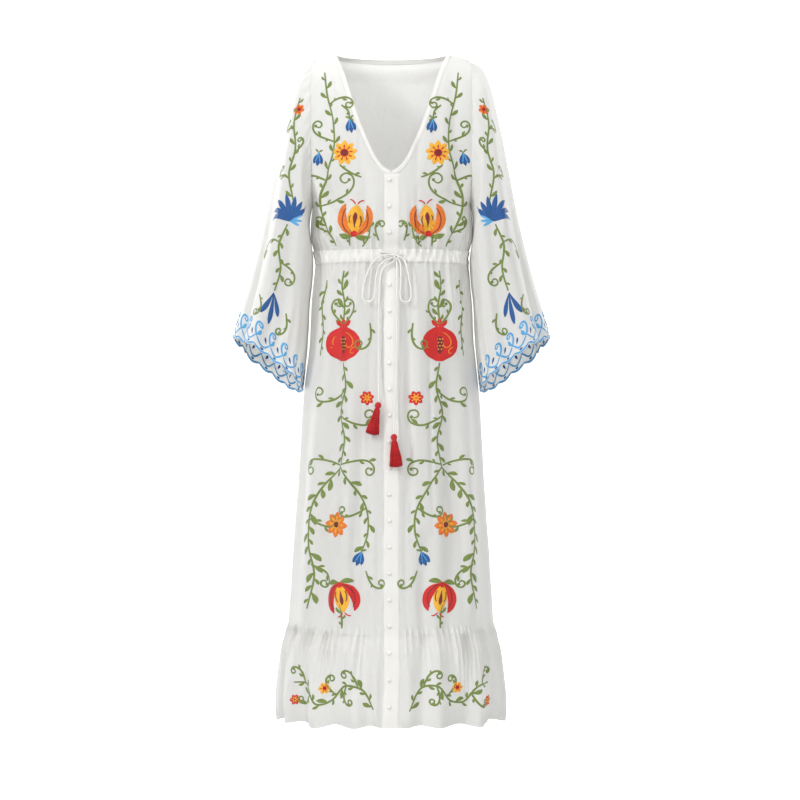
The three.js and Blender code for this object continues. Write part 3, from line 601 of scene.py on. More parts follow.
def gatherFold(angle, z, row):
    # waves of uneven width, depth and length that die away from their seam, and sooner past it
    shift = row["shift"]
    distance = row["down"] * (row["seam"] - z)
    uneven = 2.1 * np.sin(3 * angle + shift) + 0.9 * np.sin(7 * angle + 2 * shift)
    uneven = uneven + 0.7 * np.sin(13 * angle + 3 * shift) + 0.35 * np.sin(31 * angle + 5 * shift)
    phase = row["count"] * (angle + uneven / 60) + 14 * distance * np.sin(4 * angle + shift)
    reach = row["reach"] * (1 + 0.35 * np.sin(5 * angle + shift) + 0.3 * np.sin(19 * angle + 2.3 * shift))
    size = row["depth"] * (0.85 + 0.25 * np.sin(4 * angle + 1.7 * shift) + 0.3 * np.sin(23 * angle + shift))
    past = 0.012
    away = np.exp(-(distance / np.where(distance > 0, reach, past)) ** 2)
    return size * (np.sin(phase) - 0.25 * np.cos(2 * phase)) * away


# creases, in metres: from (x, z) to (toX, toZ), height (a trough is negative) and half width.
# They are shown at strength times their height
creaseStrength = {"body": 2.0, "sleeve": 1.4}
frontCreases = [
    (0.034, -0.50, 0.037, -0.98, -0.0042, 0.0095), (0.050, -0.47, 0.058, -0.80, 0.0022, 0.011),
    (-0.033, -0.47, -0.034, -0.76, -0.0026, 0.009), (-0.062, -0.70, -0.066, -1.06, -0.0045, 0.012),
    (-0.084, -0.80, -0.090, -1.17, 0.0036, 0.016), (0.066, -0.98, 0.064, -1.30, -0.0050, 0.015),
    (-0.062, -1.02, -0.060, -1.31, -0.0046, 0.014), (0.092, -0.86, 0.100, -1.19, 0.0038, 0.018),
    (0.118, -0.62, 0.128, -1.10, -0.0036, 0.014), (-0.112, -0.55, -0.120, -0.98, -0.0030, 0.013),
    (0.150, -0.70, 0.166, -1.19, 0.0034, 0.016), (-0.146, -0.66, -0.162, -1.16, 0.0036, 0.018),
    (0.080, -0.44, 0.092, -0.66, -0.0028, 0.010), (-0.078, -0.44, -0.088, -0.62, -0.0026, 0.009),
    (-0.132, -0.98, -0.142, -1.19, -0.0034, 0.013), (0.030, -1.19, 0.036, -1.372, 0.0035, 0.013),
    (-0.034, -1.20, -0.030, -1.372, 0.0030, 0.012), (0.148, -0.20, 0.112, -0.345, -0.0026, 0.010),
    (-0.150, -0.21, -0.110, -0.350, -0.0028, 0.010), (0.154, -0.25, 0.134, -0.385, 0.0022, 0.009),
    (-0.152, -0.26, -0.130, -0.388, 0.0024, 0.009), (0.124, -0.03, 0.134, -0.22, -0.0020, 0.012),
    (-0.126, -0.03, -0.132, -0.20, -0.0022, 0.012), (0.098, -0.12, 0.120, -0.33, 0.0018, 0.014),
    (-0.096, -0.14, -0.116, -0.33, 0.0018, 0.014), (0.052, -0.28, 0.060, -0.405, -0.0020, 0.007),
    (-0.054, -0.27, -0.058, -0.405, -0.0022, 0.007), (0.030, -0.29, 0.034, -0.40, 0.0014, 0.006),
    (-0.032, -0.29, -0.034, -0.40, 0.0014, 0.006), (0.034, -0.402, 0.072, -0.318, -0.0028, 0.005),
    (-0.036, -0.402, -0.070, -0.312, -0.0030, 0.005), (0.046, -0.404, 0.100, -0.335, -0.0026, 0.005),
    (-0.050, -0.404, -0.104, -0.330, -0.0026, 0.005), (0.090, -0.404, 0.130, -0.352, 0.0014, 0.006),
    (-0.092, -0.404, -0.128, -0.350, 0.0014, 0.006), (0.040, -0.440, 0.046, -0.540, -0.0024, 0.006),
    (-0.044, -0.440, -0.050, -0.530, -0.0022, 0.006), (0.104, -0.440, 0.116, -0.560, -0.0022, 0.008),
    (0.040, -0.60, 0.042, -1.05, -0.0016, 0.0045), (-0.046, -0.56, -0.050, -0.98, -0.0017, 0.0045),
    (0.076, -0.52, 0.084, -1.02, -0.0015, 0.005), (-0.104, -0.60, -0.110, -1.08, -0.0016, 0.005),
    (0.026, -0.86, 0.028, -1.16, -0.0016, 0.005), (-0.026, -0.94, -0.027, -1.17, -0.0016, 0.005),
    (0.136, -0.80, 0.146, -1.16, -0.0016, 0.006), (-0.078, -0.92, -0.076, -1.18, -0.0016, 0.005),
    (0.062, -0.404, 0.084, -0.360, -0.0020, 0.004), (-0.064, -0.404, -0.088, -0.356, -0.0021, 0.004),
    (0.112, -0.404, 0.142, -0.362, -0.0022, 0.005), (-0.116, -0.404, -0.144, -0.358, -0.0020, 0.005),
    (0.026, -0.404, 0.040, -0.352, -0.0020, 0.004), (-0.028, -0.404, -0.044, -0.350, -0.0018, 0.004),
    (0.128, -0.440, 0.140, -0.520, -0.0024, 0.006), (-0.130, -0.440, -0.144, -0.515, -0.0026, 0.006),
    (0.060, -0.100, 0.050, -0.270, -0.0016, 0.008), (-0.066, -0.110, -0.052, -0.280, -0.0017, 0.008),
]
backCreases = [
    (0.010, -0.47, 0.014, -1.00, -0.0040, 0.012), (-0.046, -0.60, -0.054, -1.16, -0.0042, 0.014),
    (0.060, -0.56, 0.070, -1.12, 0.0036, 0.015), (-0.090, -0.50, -0.104, -0.96, 0.0034, 0.014),
    (0.104, -0.66, 0.118, -1.19, -0.0040, 0.014), (-0.134, -0.74, -0.150, -1.19, -0.0036, 0.014),
    (0.146, -0.60, 0.160, -1.02, 0.0032, 0.016), (0.030, -1.02, 0.032, -1.32, -0.0046, 0.014),
    (-0.074, -1.08, -0.078, -1.33, 0.0040, 0.015), (0.086, -1.10, 0.090, -1.34, -0.0038, 0.013),
    (0.130, -0.10, 0.070, -0.30, -0.0026, 0.014), (-0.128, -0.11, -0.074, -0.31, -0.0026, 0.014),
    (0.148, -0.24, 0.098, -0.38, 0.0024, 0.011), (-0.146, -0.25, -0.100, -0.38, 0.0022, 0.011),
    (0.006, -0.16, -0.004, -0.39, -0.0020, 0.014), (0.052, -0.30, 0.050, -0.40, -0.0020, 0.008),
    (-0.050, -0.29, -0.046, -0.40, -0.0020, 0.008),
]


def creaseRise(size, off, width, t):
    # a bell across the crease's line, and a long half sine along it
    return size * np.exp(-(off / width) ** 2) * np.sin(math.pi * t) ** 0.7


def creaseHeight(x, z, creases):
    # the sum of the creases, each by its distance off its line and its share along it
    height = np.zeros(np.broadcast(x, z).shape)
    for x0, z0, x1, z1, size, width in creases:
        length = math.hypot(x1 - x0, z1 - z0)
        alongX, alongZ = (x1 - x0) / length, (z1 - z0) / length
        t = np.clip(((x - x0) * alongX + (z - z0) * alongZ) / length, 0, 1)
        off = (x - x0) * alongZ - (z - z0) * alongX
        height += creaseRise(creaseStrength["body"] * size, off, width, t)
    return height


# the cloth lies flat beside the front band, and each kind of fold rises between two distances from the middle
flatBand = {"folds": (0.024, 0.052), "gathers": (0.017, 0.030), "hem": (0.017, 0.040)}
softness = {"hem": 0.0024, "crumple": 0.0004, "drop": 0.0036}


def clothFold(angle, z, x):
    # everything that lifts the body's cloth: main folds, gathers, creases and the hem's smaller waves
    before = np.cos(angle) > 0
    beside = np.where(before, smoothstep(np.abs(x), *flatBand["folds"]), 1.0)
    close = np.where(before, smoothstep(np.abs(x), *flatBand["gathers"]), 1.0)
    lift = mainFold(angle, z) * beside
    lift = lift + sum(gatherFold(angle, z, row) for row in gatherRows.values()) * close
    creased = np.where(before, creaseHeight(x, z, frontCreases), creaseHeight(x, z, backCreases))
    small = np.sin(33 * angle + 1.5 * np.sin(5 * angle))
    small = softness["hem"] * small * smoothstep(-z, -flounceTop, -hem)
    crumple = softness["crumple"] * np.sin(60 * x + 23 * z) * np.sin(41 * z - 35 * x + 9 * angle)
    return lift + creased * close + (small + crumple) * close


def hemDrop(angle, z):
    # the hem hangs a little lower where its lobes stand out
    lobes = hemLobes(angle) + 0.5 * np.sin(8 * angle + 1.1)
    return softness["drop"] * lobes * smoothstep(-z, -flounceTop, -hem) ** 2


def bodyPoint(angle, z, out=0.0):
    # an oval section with its folds, parted at the side seams
    before = np.cos(angle) > 0
    half = readTable(torso, "half", z)
    depth = np.where(before, readTable(torso, "front", z), readTable(torso, "back", z))
    x = half * np.sin(angle)
    y = -depth * np.cos(angle)
    lift = out + clothFold(angle, z, x)
    outX, outY = x / half ** 2, y / depth ** 2
    length = np.hypot(outX, outY)
    part = np.where(before, -seam / 2, seam / 2)
    level = z - hemDrop(angle, z) * np.where(before, smoothstep(np.abs(x), *flatBand["hem"]), 1.0)
    return together(x + lift * outX / length, y + part + lift * outY / length, level)


neck = {"half": 0.115, "backDepth": 0.058, "backDip": 0.004, "backLean": 0.004, "band": 0.010}
shoulder = {"half": 0.165, "drop": 0.018, "frontRounding": 0.170, "backRounding": 0.140}
armhole = {"bottom": -0.315, "halfDepth": 0.068}
# the V neck's edge, from the neck corner to the middle and a little past it
vNeck = [(0.115, 0), (0.097, -0.047), (0.0805, -0.1), (0.06, -0.16), (0.035, -0.2155), (0.022, -0.236),
         (0.01, -0.247), (0, -0.25), (-0.01, -0.247), (-0.022, -0.236)]


def besideNeck(distance):
    # the line at a distance out from the V neck's edge, in x and z, down to the middle
    path = smoothPath(vNeck, 0.001)
    along = unit(np.gradient(path, axis=0))
    line = path + distance * np.stack([-along[:, 1], along[:, 0]], axis=1)
    return line[line[:, 0] > -1e-4]


# a panel's edge lies a little under the strip beside it
tuck = 0.0015
panelLine = besideNeck(neck["band"] + seam)


def panelEdge(z):
    # where the front panel starts across: beside the neck band, then beside the front band
    return np.maximum(np.interp(-z, -panelLine[:, 1], panelLine[:, 0]), placket["half"]) - tuck


def armholeDepth(z):
    # half the armhole's depth, front to back: an ellipse from the shoulder to its bottom
    middle = (-shoulder["drop"] + armhole["bottom"]) / 2
    share = (z - middle) / (-shoulder["drop"] - middle)
    return armhole["halfDepth"] * np.sqrt(np.maximum(0, 1 - share ** 2))


def shoulderLine(x):
    # the height of the shoulder seam, which slopes from the neck corner to the armhole
    along = np.clip((np.abs(x) - neck["half"]) / (shoulder["half"] - neck["half"]), 0, 1)
    return -shoulder["drop"] * along


def bodicePoint(x, z, before, out=0.0):
    # the bodice's cloth: an oval section, rounded over the shoulder, that narrows at its sides to the depth
    # that the armhole has, where the sleeve goes on from it
    half = readTable(torso, "half", z)
    across = np.clip(x / half, -1, 1)
    angle = np.arcsin(across) if before else math.pi - np.arcsin(across)
    neckShare = 0 * x if before else np.sqrt(np.maximum(0, 1 - (x / neck["half"]) ** 2))
    top = shoulderLine(x) - neck["backDip"] * neckShare
    rounding = shoulder["frontRounding"] if before else shoulder["backRounding"]
    drop = np.clip((top - z) / rounding, 0, 1)
    rounded = (1 - (1 - drop) ** 2) ** (0.5 + 0.5 * neckShare)
    start = neck["backDepth"] * neckShare
    full = start + (readTable(torso, "front" if before else "back", z) - start) * rounded
    arm = armholeDepth(z)
    power = 0.5 + 0.5 * arm / armhole["halfDepth"]
    depth = arm + (full - arm) * np.maximum(0, 1 - across ** 2) ** power
    outward = unit(together(across / half, np.sqrt(1 - across ** 2) / np.maximum(full, 0.001)))
    lift = out + clothFold(angle, z, x)
    y = (-1 if before else 1) * (depth + seam / 2 + lift * outward[..., 1])
    return together(x + lift * outward[..., 0], y, z)


# the sleeve's outer edge, inner edge, half depth, rise to the back and folds, at even steps down its length
sleeveSteps = 9
sleeve = {
    "step": list(range(sleeveSteps + 1)),
    "outX": [0.165, 0.187, 0.203, 0.216, 0.229, 0.243, 0.259, 0.281, 0.303, 0.322],
    "outZ": [-0.018, -0.032, -0.068, -0.122, -0.185, -0.262, -0.35, -0.448, -0.53, -0.598],
    "inX": [0.163, 0.1682, 0.1676, 0.1615, 0.1632, 0.1686, 0.1708, 0.1744, 0.1792, 0.1832],
    "inZ": [-0.315, -0.348, -0.385, -0.425, -0.47, -0.52, -0.57, -0.62, -0.662, -0.698],
    "depth": [0.068, 0.073, 0.077, 0.08, 0.082, 0.083, 0.084, 0.084, 0.083, 0.082],
    "rise": [0, 0, 0.001, 0.002, 0.004, 0.007, 0.011, 0.015, 0.018, 0.02],
    "folds": [0, 0.001, 0.002, 0.003, 0.0035, 0.004, 0.005, 0.006, 0.007, 0.008],
}
scallop = {"count": 16, "share": 0.1, "from": 6 / 7}
# soft gathers at the armhole, a ripple at the hem, and the inner side between two angles, which is flatter
# because it lies close to the body
sleeveSoft = {"gather": 0.0012, "ripple": 0.0022, "inner": (140, 172), "flatter": 0.85}
# creases along the sleeve: angle round it in degrees (0 outer edge, -90 front) and share of its length, from
# and to, then height and half width in degrees
sleeveCreases = [
    (-150, 0.10, -158, 0.95, -0.0050, 10), (-128, 0.25, -134, 1.05, 0.0040, 9),
    (-60, 0.05, -72, 0.60, -0.0028, 12), (-92, 0.45, -100, 1.10, -0.0042, 11),
    (-38, 0.30, -46, 1.05, -0.0036, 12), (-12, 0.50, -20, 1.10, 0.0030, 10),
    (30, 0.20, 38, 0.95, -0.0036, 13), (70, 0.35, 64, 1.05, 0.0040, 12),
    (104, 0.10, 112, 0.90, -0.0044, 12), (140, 0.30, 146, 1.05, 0.0036, 10),
    (168, 0.15, 172, 0.80, -0.0030, 9), (-108, 0.02, -120, 0.30, -0.0028, 9),
    (86, 0.02, 96, 0.28, -0.0026, 10),
]


def sleeveFrame(v):
    # at a share of the sleeve's length: its values, and its oval's middle and half width as (x, z)
    step = v * sleeveSteps
    at = {name: readTable(sleeve, name, step, key="step") for name in sleeve if name != "step"}
    middle = ((at["outX"] + at["inX"]) / 2, (at["outZ"] + at["inZ"]) / 2)
    reach = ((at["outX"] - at["inX"]) / 2, (at["outZ"] - at["inZ"]) / 2)
    return at, middle, reach


def sleevePoint(angle, v, side=1, out=0.0):
    # an oval section that widens to the hem, with five soft folds, the creases and a scalloped edge
    lobe = np.abs(np.sin(scallop["count"] * angle / 2))
    v = v - scallop["share"] / sleeveSteps * (1 - lobe) * smoothstep(v, scallop["from"], 1)
    at, middle, reach = sleeveFrame(v)
    folds = at["folds"] / at["depth"] * np.sin(5 * angle + 1.7 * np.sin(angle) + 0.5 + v * sleeveSteps / 6)
    turned = np.degrees(np.arctan2(np.sin(angle), np.cos(angle)))
    soft = 0 * turned
    for a0, v0, a1, v1, size, width in sleeveCreases:
        t = np.clip((v - v0) / (v1 - v0), 0, 1)
        off = (turned - (a0 + (a1 - a0) * t) + 180) % 360 - 180
        soft = soft + creaseRise(creaseStrength["sleeve"] * size, off, width, t)
    gather = np.sin(34 * angle + 2 * np.sin(3 * angle))
    soft = soft + sleeveSoft["gather"] * gather * np.exp(-(v / 0.09) ** 2)
    ripple = np.sin(16 * angle + 1.5 + 0.8 * np.sin(3 * angle))
    soft = soft + sleeveSoft["ripple"] * ripple * smoothstep(v, 0.55, 1.0)
    outside = 1 - sleeveSoft["flatter"] * smoothstep(np.abs(turned), *sleeveSoft["inner"])
    lift = out + soft * smoothstep(v, 0, 0.02) * outside
    swell = 1 + folds
    around = np.cos(angle) * np.where(np.cos(angle) < 0, 1, swell)
    back = np.sin(angle) * swell
    size = np.hypot(*reach)
    outward = unit(together(np.cos(angle) / size, np.sin(angle) / at["depth"]))
    x = middle[0] + reach[0] * around + seam + lift * outward[..., 0] * reach[0] / size
    z = middle[1] + reach[1] * around - at["rise"] * back + lift * outward[..., 0] * reach[1] / size
    y = at["depth"] * back + lift * outward[..., 1]
    return together(side * x, y, z)


# panels as closed shells

def gridNormals(points, wrap):
    # the cross product of the steps down and across
    if wrap:
        across = np.roll(points, -1, axis=1) - np.roll(points, 1, axis=1)
    else:
        across = np.gradient(points, axis=1)
    return unit(np.cross(np.gradient(points, axis=0), across))


def lengthsAlong(points, axis):
    # mean length of cloth up to each row or column
    steps = np.linalg.norm(np.diff(points, axis=axis), axis=-1).mean(axis=1 - axis)
    return np.concatenate([[0], np.cumsum(steps)])


# degrees: an edge that turns more is shaded sharp
sharpEdge = 50


def addShell(name, points, thickness, material, wrap=False):
    # outer grid, inner grid moved in along the normals, and rims between their edges
    rows, columns = points.shape[:2]
    inner = points - gridNormals(points, wrap) * thickness
    closed = np.concatenate([points, points[:, :1]], axis=1) if wrap else points
    across, down = lengthsAlong(closed, 1), lengthsAlong(points, 0)
    uv = together(across[None], down[:, None])
    outerFaces = gridFaces(rows, columns, wrap)
    innerFaces = outerFaces[:, ::-1] + rows * columns
    i = np.arange(columns if wrap else columns - 1)
    after = (i + 1) % columns
    layer = rows * columns
    last = (rows - 1) * columns
    rims = [np.stack([i, after, after + layer, i + layer], axis=1),
            np.stack([last + i, last + i + layer, last + after + layer, last + after], axis=1)]
    if not wrap:
        j = np.arange(rows - 1) * columns
        below = j + columns
        end = columns - 1
        rims.append(np.stack([j, j + layer, below + layer, below], axis=1))
        rims.append(np.stack([j + end, below + end, below + end + layer, j + end + layer], axis=1))
    rims = np.vstack(rims)
    corners = gridCorners(uv)
    innerCorners = corners.reshape(-1, 4, 2)[:, ::-1].reshape(-1, 2)
    flatUv = np.concatenate([uv[:, :columns].reshape(-1, 2)] * 2)
    allCorners = np.vstack([corners, innerCorners, flatUv[rims].reshape(-1, 2)])
    vertices = np.vstack([points.reshape(-1, 3), inner.reshape(-1, 3)])
    faces = np.vstack([outerFaces, innerFaces, rims])
    piece = addObject(name + "_cloth", vertices, faces, material, allCorners, sharpEdge)
    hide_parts(name)
    return piece


cloth = {"thickness": 0.0006}
# columns and rows of each panel's grid
grids = {
    "bodice_front": (58, 76), "bodice_back": (156, 76), "sleeve": (184, 100), "skirt_front": (92, 124),
    "skirt_back": (184, 124), "flounce_front": (176, 42), "flounce_back": (352, 42),
}


def shares(panel):
    # the panel's two parameters, 0 to 1 across and 0 to 1 down
    columns, rows = grids[panel]
    return np.meshgrid(np.linspace(0, 1, columns), np.linspace(0, 1, rows))


def bodiceFront(side):
    # across from the neck and front band to the armhole and side seam, down from the shoulder to the waist.
    # The columns are even in angle round the body, and even in width beside the armhole
    top = panelLine[0, 1]
    w, v = shares("bodice_front")
    if side < 0:
        w = 1 - w
    inZ = top + (waist["top"] - top) * v
    outZ = -shoulder["drop"] + (waist["top"] + shoulder["drop"]) * v
    z = inZ + (outZ - inZ) * w
    half = readTable(torso, "half", z)
    start = panelEdge(inZ)
    first = np.arcsin(start / half)
    turned = half * np.sin(first + (math.pi / 2 - first) * w)
    x = turned + (start + (half - start) * w - turned) * armholeDepth(z) / armhole["halfDepth"]
    return bodicePoint(side * x, z, True)


def bodiceBack():
    # side to side across the back, down from the shoulders and the back neck's curve to the waist
    u, v = shares("bodice_back")
    across = np.sin((0.5 - u) * math.pi)
    edge = panelLine[0]
    place = shoulder["half"] * across
    share = np.sqrt(np.maximum(0, 1 - (place / edge[0]) ** 2))
    topZ = np.where(np.abs(place) >= edge[0], shoulderLine(place),
                    edge[1] + (-neck["backDip"] - neck["band"] - edge[1]) * share)
    topY = (neck["backDepth"] + neck["backLean"] - 0.001) * share
    z = topZ + (waist["top"] - topZ) * v
    points = bodicePoint(readTable(torso, "half", z) * across, z, False)
    join = smoothstep(v, 0, 0.1)
    points[..., 1] = (topY + seam / 2) * (1 - join) + points[..., 1] * join
    return points


# the panels end this far, in radians, from the side seams' own plane
sideGap = 1e-6
skirtZ = (waist["bottom"] - seam, skirtBottom)
flounceZ = (flounceTop, hem)


def bodyPanel(panel, heights, angles):
    # a grid down between two heights and round between two angles, which are functions of the height
    columns, rows = grids[panel]
    z = np.linspace(*heights, rows)[:, None]
    start, end = (angle(z) for angle in angles)
    share = np.linspace(0, 1, columns)[None]
    return bodyPoint(start + (end - start) * share, z + 0 * share)


def frontPanel(panel, side, heights):
    # from the front band round to the side seam, in the order that keeps its outside outward
    def besideBand(z):
        return side * np.arcsin((placket["half"] - tuck) / readTable(torso, "half", z))

    def besideSeam(z):
        return side * (math.pi / 2 - sideGap) + 0 * z

    angles = (besideBand, besideSeam) if side > 0 else (besideSeam, besideBand)
    return bodyPanel(panel, heights, angles)


def backPanel(panel, heights):
    # from one side seam round the back to the other
    def firstSeam(z):
        return math.pi / 2 + sideGap + 0 * z

    def lastSeam(z):
        return 3 * math.pi / 2 - sideGap + 0 * z

    return bodyPanel(panel, heights, (firstSeam, lastSeam))


def sleeveShell(side):
    # round the sleeve from its outer edge, and down it from the armhole
    columns, rows = grids["sleeve"]
    angle, v = np.meshgrid(np.arange(columns) / columns * 2 * math.pi, np.linspace(0, 1, rows))
    return sleevePoint(side * angle, v, side)


def addPanel(panel, points, side="", wrap=False):
    piece = addShell(panel + side, points, cloth["thickness"], cotton, wrap)


for name, side in sides.items():
    addPanel("bodice_front", bodiceFront(side), "_" + name)
    addPanel("sleeve", sleeveShell(side), "_" + name, wrap=True)
    addPanel("skirt_front", frontPanel("skirt_front", side, skirtZ), "_" + name)
    addPanel("flounce_front", frontPanel("flounce_front", side, flounceZ), "_" + name)
addPanel("bodice_back", bodiceBack())
addPanel("skirt_back", backPanel("skirt_back", skirtZ))
addPanel("flounce_back", backPanel("flounce_back", flounceZ))
print("panels made")


# folded strips: neck band, waist casing and front band, with soft edges

strip = {"thickness": 0.0018, "edge": 0.0010, "roll": 6, "across": 9, "roundNeck": 110}
casing = {
    "rows": 15, "columns": 420, "puff": 0.0012, "round": 0.0010, "pucker": 0.0009, "puckers": 64,
    "under": 0.0006,
}
frontStrip = {
    "rows": 300, "columns": 15, "from": 0.0045, "wander": 0.0006, "buckle": 0.0005, "sway": 0.0006,
    "under": 0.003, "sink": 0.0012,
}
# the front band buckles between its buttons
button = {
    "count": 21, "radius": 0.0042, "height": 0.0034, "first": -0.270, "spacing": 0.053, "x": -0.004,
    "lift": 0.0002, "bend": 1.16, "rings": 12, "sides": 24,
}


def rolled(share):
    # 0 in the middle of a strip and 1 at its edges, steep near the edges
    return np.abs(2 * share - 1) ** strip["roll"]


def neckbandFront(side):
    # along the V neck's edge, and across from it by the band's width
    path = smoothPath(vNeck, 0.001)
    along = unit(np.gradient(path, axis=0))
    keep = path[:, 0] > seam / 2
    path, along = path[keep], along[keep]
    w = np.linspace(0, 1, strip["across"])
    if side < 0:
        w = 1 - w
    x = path[:, :1] - along[:, 1:] * w * neck["band"]
    z = path[:, 1:] + along[:, :1] * w * neck["band"]
    out = proud / 2 - strip["edge"] * rolled(w)[None] + 0 * x
    return bodicePoint(side * np.maximum(x, seam / 2), np.minimum(z, 0), True, out)


def neckbandBack():
    # half an oval round the back neck, leaning back a little as it goes down
    u, v = np.meshgrid(np.linspace(0, 1, strip["roundNeck"]), np.linspace(0, 1, strip["across"]))
    angle = (0.5 - u) * math.pi
    edge = panelLine[0]
    x = (neck["half"] + (edge[0] - neck["half"]) * v) * np.sin(angle)
    y = seam / 2 + (neck["backDepth"] + neck["backLean"] * v) * np.cos(angle)
    drop = -neck["backDip"] - neck["band"] * v
    z = edge[1] * v + (drop - edge[1] * v) * np.cos(angle)
    return together(x, y - strip["edge"] * rolled(v) * np.cos(angle), z)


def waistCasing():
    # round the waist from one side of the front band to the other, puffed between its edges and puckered
    z = np.linspace(waist["top"] - seam, waist["bottom"], casing["rows"])
    share = (z - z[0]) / (z[-1] - z[0])
    start = np.arcsin((placket["half"] + seam) / readTable(torso, "half", z))[:, None]
    angle = start + (2 * math.pi - 2 * start) * np.linspace(0, 1, casing["columns"])
    puff = casing["puff"] * (1 - rolled(share)) + casing["round"] * np.sin(math.pi * share)
    uneven = 2 * np.sin(5 * angle) + 0.8 * np.sin(11 * angle)
    uneven = uneven + 2 * (share[:, None] - 0.5) * np.sin(7 * angle)
    pucker = casing["pucker"] * np.sin(casing["puckers"] * angle + uneven)
    out = proud - casing["under"] + puff[:, None] + pucker
    return bodyPoint(angle, z[:, None] + 0 * angle, out)


def frontBand():
    # down the middle of the front, buckled between the buttons, with its top under the neck band
    z = np.linspace(placket["top"] + frontStrip["from"], hem, frontStrip["rows"])[:, None]
    w = np.linspace(0, 1, frontStrip["columns"])[None]
    across = 2 * w - 1
    half = readTable(torso, "half", z)
    x = placket["half"] * across + frontStrip["wander"] * (np.sin(38 * z) + 0.5 * np.sin(90 * z + 1))
    buckle = np.sin(2 * math.pi * (z - button["first"]) / button["spacing"]) * (0.4 + 0.6 * across ** 2)
    soft = frontStrip["buckle"] * buckle + frontStrip["sway"] * np.sin(21 * z + 2) * across
    under = smoothstep(z, placket["top"], placket["top"] + frontStrip["under"])
    out = proud - strip["edge"] * rolled(w) + soft * (1 - under) - frontStrip["sink"] * under
    return bodyPoint(np.arcsin(x / half), z + 0 * w, out)


def addStrip(name, points, material):
    piece = addShell(name, points, strip["thickness"], material)


for name, side in sides.items():
    addStrip("neckband_" + name, neckbandFront(side), foldedCotton)
addStrip("neckband_back", neckbandBack(), foldedCotton)
addStrip("waist_casing", waistCasing(), cotton)
addStrip("front_band", frontBand(), foldedCotton)
print("strips made")


# covered buttons: a low dome of revolution whose base lies on the front band

def makeButtons():
    # each dome: rings of a bent profile that leans with the front band's own slope
    z = button["first"] - np.arange(button["count"]) * button["spacing"]
    front = readTable(torso, "front", z)
    near = 0.001
    slope = (readTable(torso, "front", z + near) - readTable(torso, "front", z - near)) / (2 * near)
    outward = unit(np.stack([0 * z, -np.ones_like(z), -slope], axis=1))
    right = np.array([1.0, 0, 0])
    up = np.cross(right, -outward)
    base = np.stack([button["x"] + 0 * z, -front - seam / 2 - proud, z], axis=1) + outward * button["lift"]
    share = np.linspace(0.08, 1, button["rings"])
    bend = share * math.pi / 2 * button["bend"]
    radius = button["radius"] * np.sin(bend)
    height = button["height"] * (0.30 + 0.70 * np.cos(bend)) + 0.0001
    angle = np.arange(button["sides"]) * 2 * math.pi / button["sides"]
    across = (radius[:, None] * np.cos(angle))[None, ..., None] * right
    along = (radius[:, None] * np.sin(angle))[None, ..., None] * up[:, None, None]
    points = base[:, None, None] + across + along + height[None, :, None, None] * outward[:, None, None]
    turns = np.arange(button["sides"] + 1)
    uv = together(turns[None] * 0.0011, share[:, None] * 0.006)
    vertices, faces, corners = joined(closedTube(dome, uv) for dome in points)
    piece = addObject("covered_buttons", vertices, faces, shadedButtonCotton, corners)
    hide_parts(*[f"button_{i + 1:02d}" for i in range(button["count"])])
    return piece


makeButtons()
print("buttons made")


# embroidery: satin stitches as raised strokes on the cloth. A plan is what the front shows, x across and z
# up, on the wearer's left half; the right half mirrors it

stitch = {
    "station": 0.0029, "apart": 0.003, "lift": 0.0002, "height": 0.0008, "sink": 0.0003, "full": 0.0012,
}
# half width as a share of its greatest, along each kind of stroke
strokeShapes = {
    "vine": [0.75, 0.95, 1, 1, 0.95, 0.9, 0.85, 0.7],
    "leaf": [0.2, 0.38, 0.62, 0.88, 1, 0.94, 0.66, 0.15],
    "petal": [0.3, 0.66, 0.9, 1, 0.98, 0.86, 0.6, 0.12],
    "drop": [0.12, 0.3, 0.5, 0.72, 0.92, 1, 0.86, 0.3],
    "round": [0.2, 0.72, 0.92, 1, 1, 0.92, 0.72, 0.2],
    "line": [0.5, 1, 1, 1, 1, 1, 1, 0.5],
}
# strokes by their color and the surface that they lie on
sewn = {}


def curve(x, z, heading, length, bend=0.0, curl=0.0):
    # a line whose heading turns evenly by bend, and by curl mostly towards its end (degrees, 90 is up)
    stations = max(6, int(length / stitch["station"]))
    t = (np.arange(stations) + 0.5) / stations
    turned = np.radians(heading + bend * t + curl * t ** 3)
    steps = np.stack([np.cos(turned), np.sin(turned)], axis=1) * length / stations
    return np.vstack([[x, z], np.array([x, z]) + np.cumsum(steps, axis=0)])


def sew(surface, color, path, width, shape="vine", above=0.0):
    # columns across the stroke in a low dome, and one more below its middle that closes it
    rows = len(path)
    columns = max(5, 2 * int(round(width / stitch["apart"])) + 1)
    across = np.linspace(-1, 1, columns)
    along = unit(np.gradient(path, axis=0))
    left = np.stack([-along[:, 1], along[:, 0]], axis=1)
    share = np.linspace(0, 1, rows)
    profile = strokeShapes[shape]
    wide = width * np.interp(share, np.linspace(0, 1, len(profile)), profile)
    across = np.append(across, 0)
    domed = (1 - across ** 4) * np.minimum(1, wide[:, None] / stitch["full"])
    up = stitch["lift"] + above + stitch["height"] * domed
    up[:, -1] = -stitch["sink"]
    plan = path[:, None] + left[:, None] * (wide[:, None] * across)[..., None]
    uv = together(lengthsOn(path)[:, None] + path[0, 0], (width * np.append(across, 1))[None])
    even = np.arange(0, columns - 1, 2)
    cap = np.stack([even, even + 1, even + 2, columns + 0 * even], axis=1)
    farCap = cap[:, ::-1] + (rows - 1) * (columns + 1)
    faces = np.vstack([gridFaces(rows, columns + 1, wrap=True), cap, farCap])
    corners = np.vstack([gridCorners(uv), np.zeros((8 * len(even), 2))])
    sewn.setdefault((color, surface), []).append((plan.reshape(-1, 2), up.ravel(), faces, corners))


def leaf(surface, color, x, z, heading, length, width=None, bend=25, kind="leaf"):
    # one broad stroke; width is half of its greatest
    sew(surface, color, curve(x, z, heading, length, bend), width or 0.2 * length, kind)


